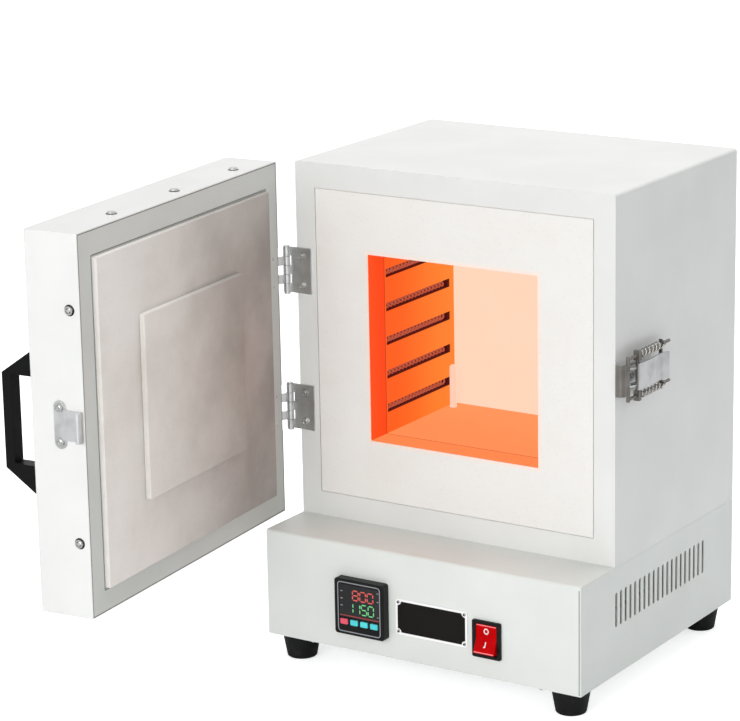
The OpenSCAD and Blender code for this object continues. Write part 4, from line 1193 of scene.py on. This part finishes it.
@dataclass
class Latch(Assembly):
    """Sprung toggle latch on the right side.

    Attributes:
        rod_x: X of the pull rods, which the springs are wound round.
        rod_z: their distance above and below the latch's middle.
        radius: radius of a spring's middle line.
        wire: radius of its wire.
        turns: turns of a spring.
        rings: points in a turn.
        near: Y of its fixed end.
        span: its length at rest.
    """

    rod_x: float = 158
    rod_z: float = 16.5
    radius: float = 3.0
    wire: float = 0.6
    turns: int = 6
    rings: int = 18
    near: float = -54.0
    span: float = 37.5

    def spring_line(self, z: float) -> List[Point]:
        """Returns the middle line of a spring, in metres.

        Args:
            z: height of its rod.

        Returns:
            Its points, from the fixed end back to the claw's bar.
        """
        n, end = self.turns * self.rings, 2 * self.wire
        x, y0 = self.rod_x + self.radius, self.near
        line = [(x, y0, z), (x, y0 + end, z)]
        for k in range(1, n):
            a = 2 * math.pi * k / self.rings
            line.append((self.rod_x + self.radius * math.cos(a), y0 + end + (self.span - 2 * end) * k / n,
                         z + self.radius * math.sin(a)))
        line += [(x, y0 + self.span - end, z), (x, y0 + self.span, z)]
        return [tuple(c * MM for c in p) for p in line]

    def build(self) -> None:
        """Rounds the latch's pieces and winds its springs."""
        self.soften("latch_bracket", Body.KILN, 0.25, STAINLESS, "stainless")
        self.soften("latch_rivets", Body.KILN, 0.3, FASTENER, "fastener")
        self.soften("latch_pin", Body.KILN, 0.3, STAINLESS, "stainless")
        self.soften("latch_lever", Body.LEVER, 0.3, STAINLESS, "stainless", 3)
        self.soften("latch_yoke", Body.YOKE, 0.4, DARK_STEEL, "dark_steel")
        self.soften("latch_claw", Body.CLAW, 0.3, DARK_STEEL, "dark_steel")
        lines = [self.spring_line(S.latch_z + s * self.rod_z) for s in (-1, 1)]
        middle = len(lines[0]) // 2
        # A spring is halved at its middle, so that the half at the claw's bar slides in with it
        for name, run, body in (("latch_spring_fronts", slice(middle + 1), Body.YOKE),
                                ("latch_spring_tails", slice(middle, None), Body.CLAW)):
            half = tube(name, [line[run] for line in lines], self.wire * MM, body,
                        self.palette.get(SPRING), 12)
            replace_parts(half, "latch_springs")


@dataclass
class Base(Assembly):
    """Cover, tray, feet and what is inside.

    Attributes:
        seam_x: X of the cover's front seam.
        seam_z: height of its middle.
        seam: its width and height.
        seam_y: its back and its face.
        rear_x: distance of the rear and lower screws from the middle.
        rear_z: height of the rear screws.
        low: Y and Z of the lower screws.
        inlet: X, Y and Z of the power inlet's middle, at its flange.
        inlet_half: distance of its screws from that middle.
        head: radius and height of a head.
        inlet_head: radius and height of the inlet's heads.
    """

    seam_x: float = 148.4
    seam_z: float = 67
    seam: Flat = (0.7, 88)
    seam_y: Flat = (-133.9, -134.06)
    rear_x: float = 110
    rear_z: float = 105
    low: Flat = (-126, 20.2)
    inlet: Point = (92, 136.1, 68)
    inlet_half: float = 20
    head: Flat = (3.1, 1.7)
    inlet_head: Flat = (2.9, 1.4)

    def build(self) -> None:
        """Rounds the sheet and the feet and adds the screws and the front seam."""
        self.soften("base_cover", Body.KILN, 0.9, BASE_PAINT, "shell_base", 3)
        self.soften("base_tray", Body.KILN, 0.3, BASE_PAINT, "shell_base")
        for a in ("front", "rear"):
            for b in ("left", "right"):
                self.soften(f"foot_{a}_{b}", Body.KILN, 1.2, RUBBER, "rubber", 3)
        self.paint(FASTENER, "foot_screws", "base_screws")
        self.paint(HEAT_SINK, "power_unit")
        self.paint(WIRE_RED, "wiring")
        self.soften("power_inlet", Body.KILN, 0.35, PLASTIC, "black_plastic")
        seam = bmesh.new()
        outline = rounded(self.seam_x, self.seam_z, *self.seam, 0.3, 2)
        add_prism(seam, [(x * MM, z * MM) for x, z in outline], self.seam_y[1] * MM, self.seam_y[0] * MM)
        mesh_object("cover_seam", seam, Body.KILN, self.palette.get(SEAM), 30)
        x, y, z = self.inlet
        sides = (-1, 1)
        spots = [((s * self.rear_x, S.rear_y, self.rear_z), BACK, *self.head) for s in sides]
        spots += [((x + s * self.inlet_half, y, z), BACK, *self.inlet_head) for s in sides]
        spots += [((s * self.rear_x, *self.low), DOWN, *self.head) for s in sides]
        self.screws("base_screw_heads", spots, Body.KILN)


# Lit segments of each digit: a top, b and c right, d bottom, e and f left, g middle
SEGMENTS = {"0": "abcdef", "1": "bc", "5": "acdfg", "8": "abcdefg"}


@dataclass(frozen=True)
class Digits:
    """A row of seven-segment digits.

    Attributes:
        text: the digits.
        left: left edge of the first digit, in millimetres.
        low: bottom edge.
        width: width of one digit.
        height: height of one digit.
        gap: space between digits.
        bar: thickness of a segment.
    """

    text: str
    left: float
    low: float
    width: float
    height: float
    gap: float
    bar: float

    def outlines(self) -> List[List[Flat]]:
        """Returns one outline in X and Z for each lit segment."""
        made = []
        for i, digit in enumerate(self.text):
            x0 = self.left + i * (self.width + self.gap)
            x1, z0 = x0 + self.width, self.low
            z2, z1 = z0 + self.height, z0 + self.height / 2
            b = self.bar / 2
            flat = {"a": z2, "g": z1, "d": z0}
            tall = {"f": (x0, z1, z2), "b": (x1, z1, z2), "e": (x0, z0, z1), "c": (x1, z0, z1)}
            for seg in SEGMENTS[digit]:
                if seg in flat:
                    z = flat[seg]
                    made.append([(x0 + b, z), (x0 + 2 * b, z + b), (x1 - 2 * b, z + b), (x1 - b, z),
                                 (x1 - 2 * b, z - b), (x0 + 2 * b, z - b)])
                else:
                    x, lo, hi = tall[seg]
                    made.append([(x, lo + b), (x - b, lo + 2 * b), (x - b, hi - 2 * b), (x, hi - b),
                                 (x + b, hi - 2 * b), (x + b, lo + 2 * b)])
        return made


@dataclass
class Controls(Assembly):
    """Controller, name plate and rocker switch on the base's front.

    Attributes:
        front_y: front of the base.
        bezel_y: front of the controller's bezel.
        middle: X and Z of the controller's middle.
        core: half the width of the controller's inner part, whose edges stay sharp.
        bezel_line: size of the line round the window.
        key: width and height of a key.
        key_drop: how far the keys' middle is below the controller's.
        key_x: X of the first key, from the controller's middle.
        key_step: distance from one key to the next.
        marks: X and Z, from the controller's middle, and width of each small mark.
        plate_middle: X and Z of the name plate's middle.
        plate_half: half the width and half the height of its rivets' rectangle.
        plate_out: thickness of the plate.
        field: left, right, lower and upper edge of its dark field.
        notch: radius of the field's cut-in corners.
        rocker_at: middle of the rocker's axis.
        rocker_mark_z: heights of the rocker's O and I marks and of its two painted highlight strips, from
            that axis.
        rocker_tilt: tilt of the rocker's halves, in degrees.
    """

    front_y: float = -134.0
    bezel_y: float = -142.0
    middle: Flat = (-53.5, 62.3)
    core: float = 22
    bezel_line: Flat = (41.6, 43.4)
    key: Flat = (7.3, 4.8)
    key_drop: float = 12.7
    key_x: float = -14.55
    key_step: float = 9.7
    marks: Tuple[Point, ...] = ((-17.2, 13.4, 2.2), (-17.2, 7.0, 2.2), (-17.2, 0.9, 2.2),
                                (18.2, 16.4, 1.8), (18.2, 9.1, 1.8), (18.2, -4.3, 1.8))
    plate_middle: Flat = (11.8, 60)
    plate_half: Flat = (31.4, 12.6)
    plate_out: float = 0.8
    field: Tuple[float, ...] = (-20.4, 44.0, 46.6, 73.4)
    notch: float = 3.4
    rocker_at: Point = (64.3, -133.6, 55.2)
    rocker_mark_z: Tuple[float, ...] = (6.6, -4.4, 11.2, -11.2)
    rocker_tilt: float = 12

    def flat(self, name: str, outlines: Iterable[Sequence[Flat]], y: float, thick: float,
             finish: Finish, slot: str) -> None:
        """Makes thin raised shapes on a face that looks along -Y.

        Args:
            name: the piece's name.
            outlines: outlines in X and Z, in millimetres.
            y: Y of the face that carries them.
            thick: how far they stand out.
            finish: their finish.
            slot: name of a material slot; not used.
        """
        bm = bmesh.new()
        for line in outlines:
            add_prism(bm, [(x * MM, z * MM) for x, z in line], (y - thick) * MM, (y + 0.02) * MM)
        mesh_object(name, bm, Body.KILN, self.palette.get(finish), 30)

    def outer(self, at: Vector) -> bool:
        """Tells whether a point, in metres, is on the controller's bezel and off its inner part."""
        cx, cz = self.middle
        return at.y < -0.137 and max(abs(at.x / MM - cx), abs(at.z / MM - cz)) > self.core

    def controller(self) -> None:
        """Bezel, window, digits and marks."""
        cx, cz = self.middle
        self.soften("controller_case", Body.KILN, 0.6, PLASTIC, "black_plastic", 3, pick=self.outer)
        self.paint(LENS, "controller_lens")
        window_y = self.bezel_y + 0.4
        line = border(self.middle, self.bezel_line, 3.0, 0.8, self.bezel_y, 0.12)
        mesh_object("bezel_line", line, Body.KILN, self.palette.get(GREY_INK), 30)
        red = Digits("800", cx - 6.3, cz + 6.9, 5.5, 8.2, 1.7, 1.0)
        green = Digits("1150", cx - 11.3, cz - 4.6, 5.2, 8.6, 1.5, 0.95)
        rule = [rounded(cx, cz - 7.5, 38, 0.8, 0.3, 2)]
        marks = [rounded(cx + x, cz + z, w, 0.8, 0.3, 2) for x, z, w in self.marks]
        for name, shapes, thick, finish in (("digits_red", red.outlines(), 0.08, RED_DIGITS),
                                            ("digits_green", green.outlines(), 0.08, GREEN_DIGITS),
                                            ("red_rule", rule, 0.06, RED_LINE),
                                            ("status_marks", marks, 0.06, GREY_INK)):
            self.flat(name, shapes, window_y, thick, finish, "lens")

    def keys(self) -> None:
        """Makes the four key caps, red for the first and blue for the rest."""
        cx, cz = self.middle
        for i, name in enumerate(("key_set", "key_shift", "key_down", "key_up")):
            finish, slot = (KEY_BLUE, "key_blue") if i else (KEY_RED, "key_red")
            outline = rounded(cx + self.key_x + i * self.key_step, cz - self.key_drop, *self.key, 0.9)
            bm = bmesh.new()
            add_prism(bm, [(x * MM, z * MM) for x, z in outline], (self.bezel_y - 0.7) * MM,
                      (self.bezel_y + 3.4) * MM, 0.35 * MM, 3)
            cap = mesh_object("cap_" + name, bm, name, self.palette.get(finish), 40)
            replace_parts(cap, name)

    def plate(self) -> None:
        """Bare name plate: white edge, black field with cut-in corners, four rivets."""
        self.soften("name_plate", Body.KILN, 0.15, PLATE, "plate")
        x0, x1, z0, z1 = self.field
        pts: List[Flat] = []
        for cx, cz, first in ((x1, z1, 270), (x0, z1, 0), (x0, z0, 90), (x1, z0, 180)):
            steps = [math.radians(first - 15 * k) for k in range(7)]
            pts += [(cx + self.notch * math.cos(a), cz + self.notch * math.sin(a)) for a in steps]
        face_y = self.front_y - self.plate_out
        self.flat("plate_field", [pts], face_y, 0.05, PRINT, "plate")
        (x, z), (w, h) = self.plate_middle, self.plate_half
        spots = [((x + sx * w, face_y, z + sz * h), FRONT, 1.3, 0.9) for sx in (-1, 1) for sz in (-1, 1)]
        self.screws("plate_rivet_heads", spots, Body.KILN, SCREW_SHADE_AND_RIVET, False)

    def switch(self) -> None:
        """Rocker with its two marks and painted highlights along its top and bottom ends."""
        self.soften("switch_housing", Body.KILN, 0.5, PLASTIC, "black_plastic", 3)
        self.soften("switch_rocker", Body.ROCKER, 0.5, ROCKER, "rocker", 3, 14)
        tilt, sides = math.radians(self.rocker_tilt), 24
        place = Matrix.Scale(MM, 4) @ Matrix.Translation(self.rocker_at) @ Matrix.Rotation(-tilt, 4, "X")
        off, on, lip_top, lip_low = (bmesh.new() for _ in range(4))
        angles = [2 * math.pi * k / sides for k in range(sides)]
        ring = [[(r * math.cos(t), 1.1 * r * math.sin(t)) for t in angles] for r in (2.35, 1.45)]
        loops = []
        for outline in ring:
            made = [off.verts.new((x, 0.05, z)) for x, z in outline]
            loops += [off.edges.new((a, b)) for a, b in zip(made, made[1:] + made[:1])]
        flat = bmesh.ops.bridge_loops(off, edges=loops)
        drawn = bmesh.ops.extrude_face_region(off, geom=flat["faces"])
        bmesh.ops.translate(off, vec=(0, -0.15, 0), verts=new_verts(drawn))
        add_prism(on, rounded(0, 0, 0.9, 4.8, 0.3, 2), -0.1, 0.05)
        add_prism(on, rounded(-0.5, -2.0, 1.7, 1.0, 0.4, 3), -0.11, 0.05)
        # The two pale strips at the rocker's ends are painted highlights.
        for highlight_strip in (lip_top, lip_low):
            add_prism(highlight_strip, rounded(0, 0, 18.0, 0.8, 0.3, 3), -0.12, 0.05)
        shapes = (("off", off, WHITE_INK), ("on", on, WHITE_INK), ("lip_top", lip_top, ROCKER_HIGHLIGHT),
                  ("lip_low", lip_low, ROCKER_HIGHLIGHT))
        for (name, bm, finish), z in zip(shapes, self.rocker_mark_z):
            bm.transform(Matrix.Rotation(tilt if z > 0 else -tilt, 4, "X"))
            bm.transform(Matrix.Translation((0, -2.2 - abs(z) * math.tan(tilt), z)))
            bm.transform(place)
            mesh_object("rocker_mark_" + name, bm, Body.ROCKER, self.palette.get(finish), 30)

    def build(self) -> None:
        """Makes the three groups and the keys."""
        self.controller()
        self.keys()
        self.plate()
        self.switch()


# Studio


@dataclass(frozen=True)
class Lamp:
    """One soft area light.

    Attributes:
        name: its name.
        at: place, in metres.
        power: watts.
        size: side of the square, in metres.
        target: point that it shines at.
    """

    name: str
    at: Point
    power: float
    size: float
    target: Point = (-0.05, -0.05, 0.22)


@dataclass(frozen=True)
class View:
    """The photograph's camera.

    Attributes:
        azimuth: degrees to the right of the front.
        elevation: degrees above the horizon.
        roll: degrees of roll.
        distance: distance from the target, in metres.
        target: point in the middle of the picture.
        lens: focal length, in millimetres on a 36 mm sensor.
    """

    azimuth: float = 33.04
    elevation: float = 14.9
    roll: float = -1.1
    distance: float = 2.48754
    target: Point = (-0.07955, -0.078, 0.25577)
    lens: float = 146.3


@dataclass
class Studio:
    """Floor, lights, world and camera.

    Attributes:
        lamps: the soft lights.
        sky: strength of the world's light.
        floor_size: half the floor's side, in metres.
        floor_lift: light that the floor adds for the camera, so that it looks white.
    """

    lamps: Tuple[Lamp, ...] = (
        Lamp("key", (0.2, -3.0, 1.15), 30, 1.3),
        Lamp("fill", (-1.2, -2.6, 1.5), 8, 1.6),
        Lamp("low", (0.8, -2.3, 0.3), 7, 1.0),
        Lamp("side", (2.2, 1.3, 2.0), 9, 1.2),
        Lamp("top", (0.1, 0.6, 2.8), 33, 1.4),
    )
    sky: float = 0.42
    floor_size: float = 6
    floor_lift: float = 0.65

    def camera(self, view: View) -> None:
        """Makes the camera.

        Args:
            view: where it stands.
        """
        az, el, roll = (math.radians(v) for v in (view.azimuth, view.elevation, view.roll))
        back = Vector((math.sin(az) * math.cos(el), -math.cos(az) * math.cos(el), math.sin(el)))
        right = Vector((math.cos(az), math.sin(az), 0))
        up = back.cross(right)
        r2 = right * math.cos(roll) + up * math.sin(roll)
        u2 = up * math.cos(roll) - right * math.sin(roll)
        data = bpy.data.cameras.new("photo_camera")
        data.lens, data.sensor_width = view.lens, 36
        data.clip_start, data.clip_end = 0.05, 40
        cam = bpy.data.objects.new("photo_camera", data)
        bpy.context.scene.collection.objects.link(cam)
        turn = Matrix((r2, u2, back)).transposed().to_4x4()
        cam.matrix_world = Matrix.Translation(Vector(view.target) + back * view.distance) @ turn
        bpy.context.scene.camera = cam

    def light(self) -> None:
        """Makes the lamps and the world."""
        for lamp in self.lamps:
            data = bpy.data.lights.new(lamp.name, "AREA")
            data.energy, data.size = lamp.power, lamp.size
            made = bpy.data.objects.new(lamp.name, data)
            made.location = lamp.at
            way = Vector(lamp.target) - Vector(lamp.at)
            made.rotation_euler = way.to_track_quat("-Z", "Y").to_euler()
            bpy.context.scene.collection.objects.link(made)
        world = bpy.data.worlds.new("studio")
        world.use_nodes = True
        tree = world.node_tree
        tree.nodes.clear()
        out = tree.nodes.new("ShaderNodeOutputWorld")
        soft, seen = (tree.nodes.new("ShaderNodeBackground") for _ in range(2))
        soft.inputs[0].default_value, soft.inputs[1].default_value = (0.95, 0.97, 1.0, 1), self.sky
        seen.inputs[0].default_value, seen.inputs[1].default_value = (1, 1, 1, 1), 1.0
        path, mix = tree.nodes.new("ShaderNodeLightPath"), tree.nodes.new("ShaderNodeMixShader")
        either = tree.nodes.new("ShaderNodeMath")
        either.operation = "MAXIMUM"
        tree.links.new(path.outputs["Is Camera Ray"], either.inputs[0])
        tree.links.new(path.outputs["Is Glossy Ray"], either.inputs[1])
        tree.links.new(either.outputs[0], mix.inputs[0])
        tree.links.new(soft.outputs[0], mix.inputs[1])
        tree.links.new(seen.outputs[0], mix.inputs[2])
        tree.links.new(mix.outputs[0], out.inputs[0])
        bpy.context.scene.world = world

    def floor(self) -> None:
        """Makes the pale floor; it is white to the camera and keeps the shadow."""
        bm = bmesh.new()
        bmesh.ops.create_grid(bm, x_segments=1, y_segments=1, size=self.floor_size)
        data = bpy.data.meshes.new("floor")
        bm.to_mesh(data)
        bm.free()
        made = bpy.data.objects.new("floor", data)
        bpy.context.scene.collection.objects.link(made)
        g = Graph("floor_paint")
        grain = g.noise(3, 2)
        g.set(Base_Color=g.blend(grain, srgb(244, 244, 245), srgb(240, 241, 243)), Roughness=0.9)
        tree = g.tree
        lit = tree.nodes.new("ShaderNodeEmission")
        lit.inputs[0].default_value, lit.inputs[1].default_value = (1, 1, 1, 1), self.floor_lift
        add, path = tree.nodes.new("ShaderNodeAddShader"), tree.nodes.new("ShaderNodeLightPath")
        mix = tree.nodes.new("ShaderNodeMixShader")
        tree.links.new(g.surface.outputs[0], add.inputs[0])
        tree.links.new(lit.outputs[0], add.inputs[1])
        tree.links.new(path.outputs["Is Camera Ray"], mix.inputs[0])
        tree.links.new(g.surface.outputs[0], mix.inputs[1])
        tree.links.new(add.outputs[0], mix.inputs[2])
        tree.links.new(mix.outputs[0], g.output.inputs[0])
        data.materials.append(g.material)

    def build(self) -> None:
        """Makes everything round the kiln."""
        self.camera(View())
        self.light()
        self.floor()
        bpy.context.scene.view_settings.view_transform = "Standard"


def main() -> None:
    """Dresses the kiln."""
    logging.basicConfig(level=logging.INFO)
    palette = Palette()
    Studio().build()
    for part in (Cabinet, Chamber, Door, Hinges, Latch, Base, Controls):
        part(palette).build()
        log.info("%s done", part.__name__)


if __name__ == "__main__":
    main()
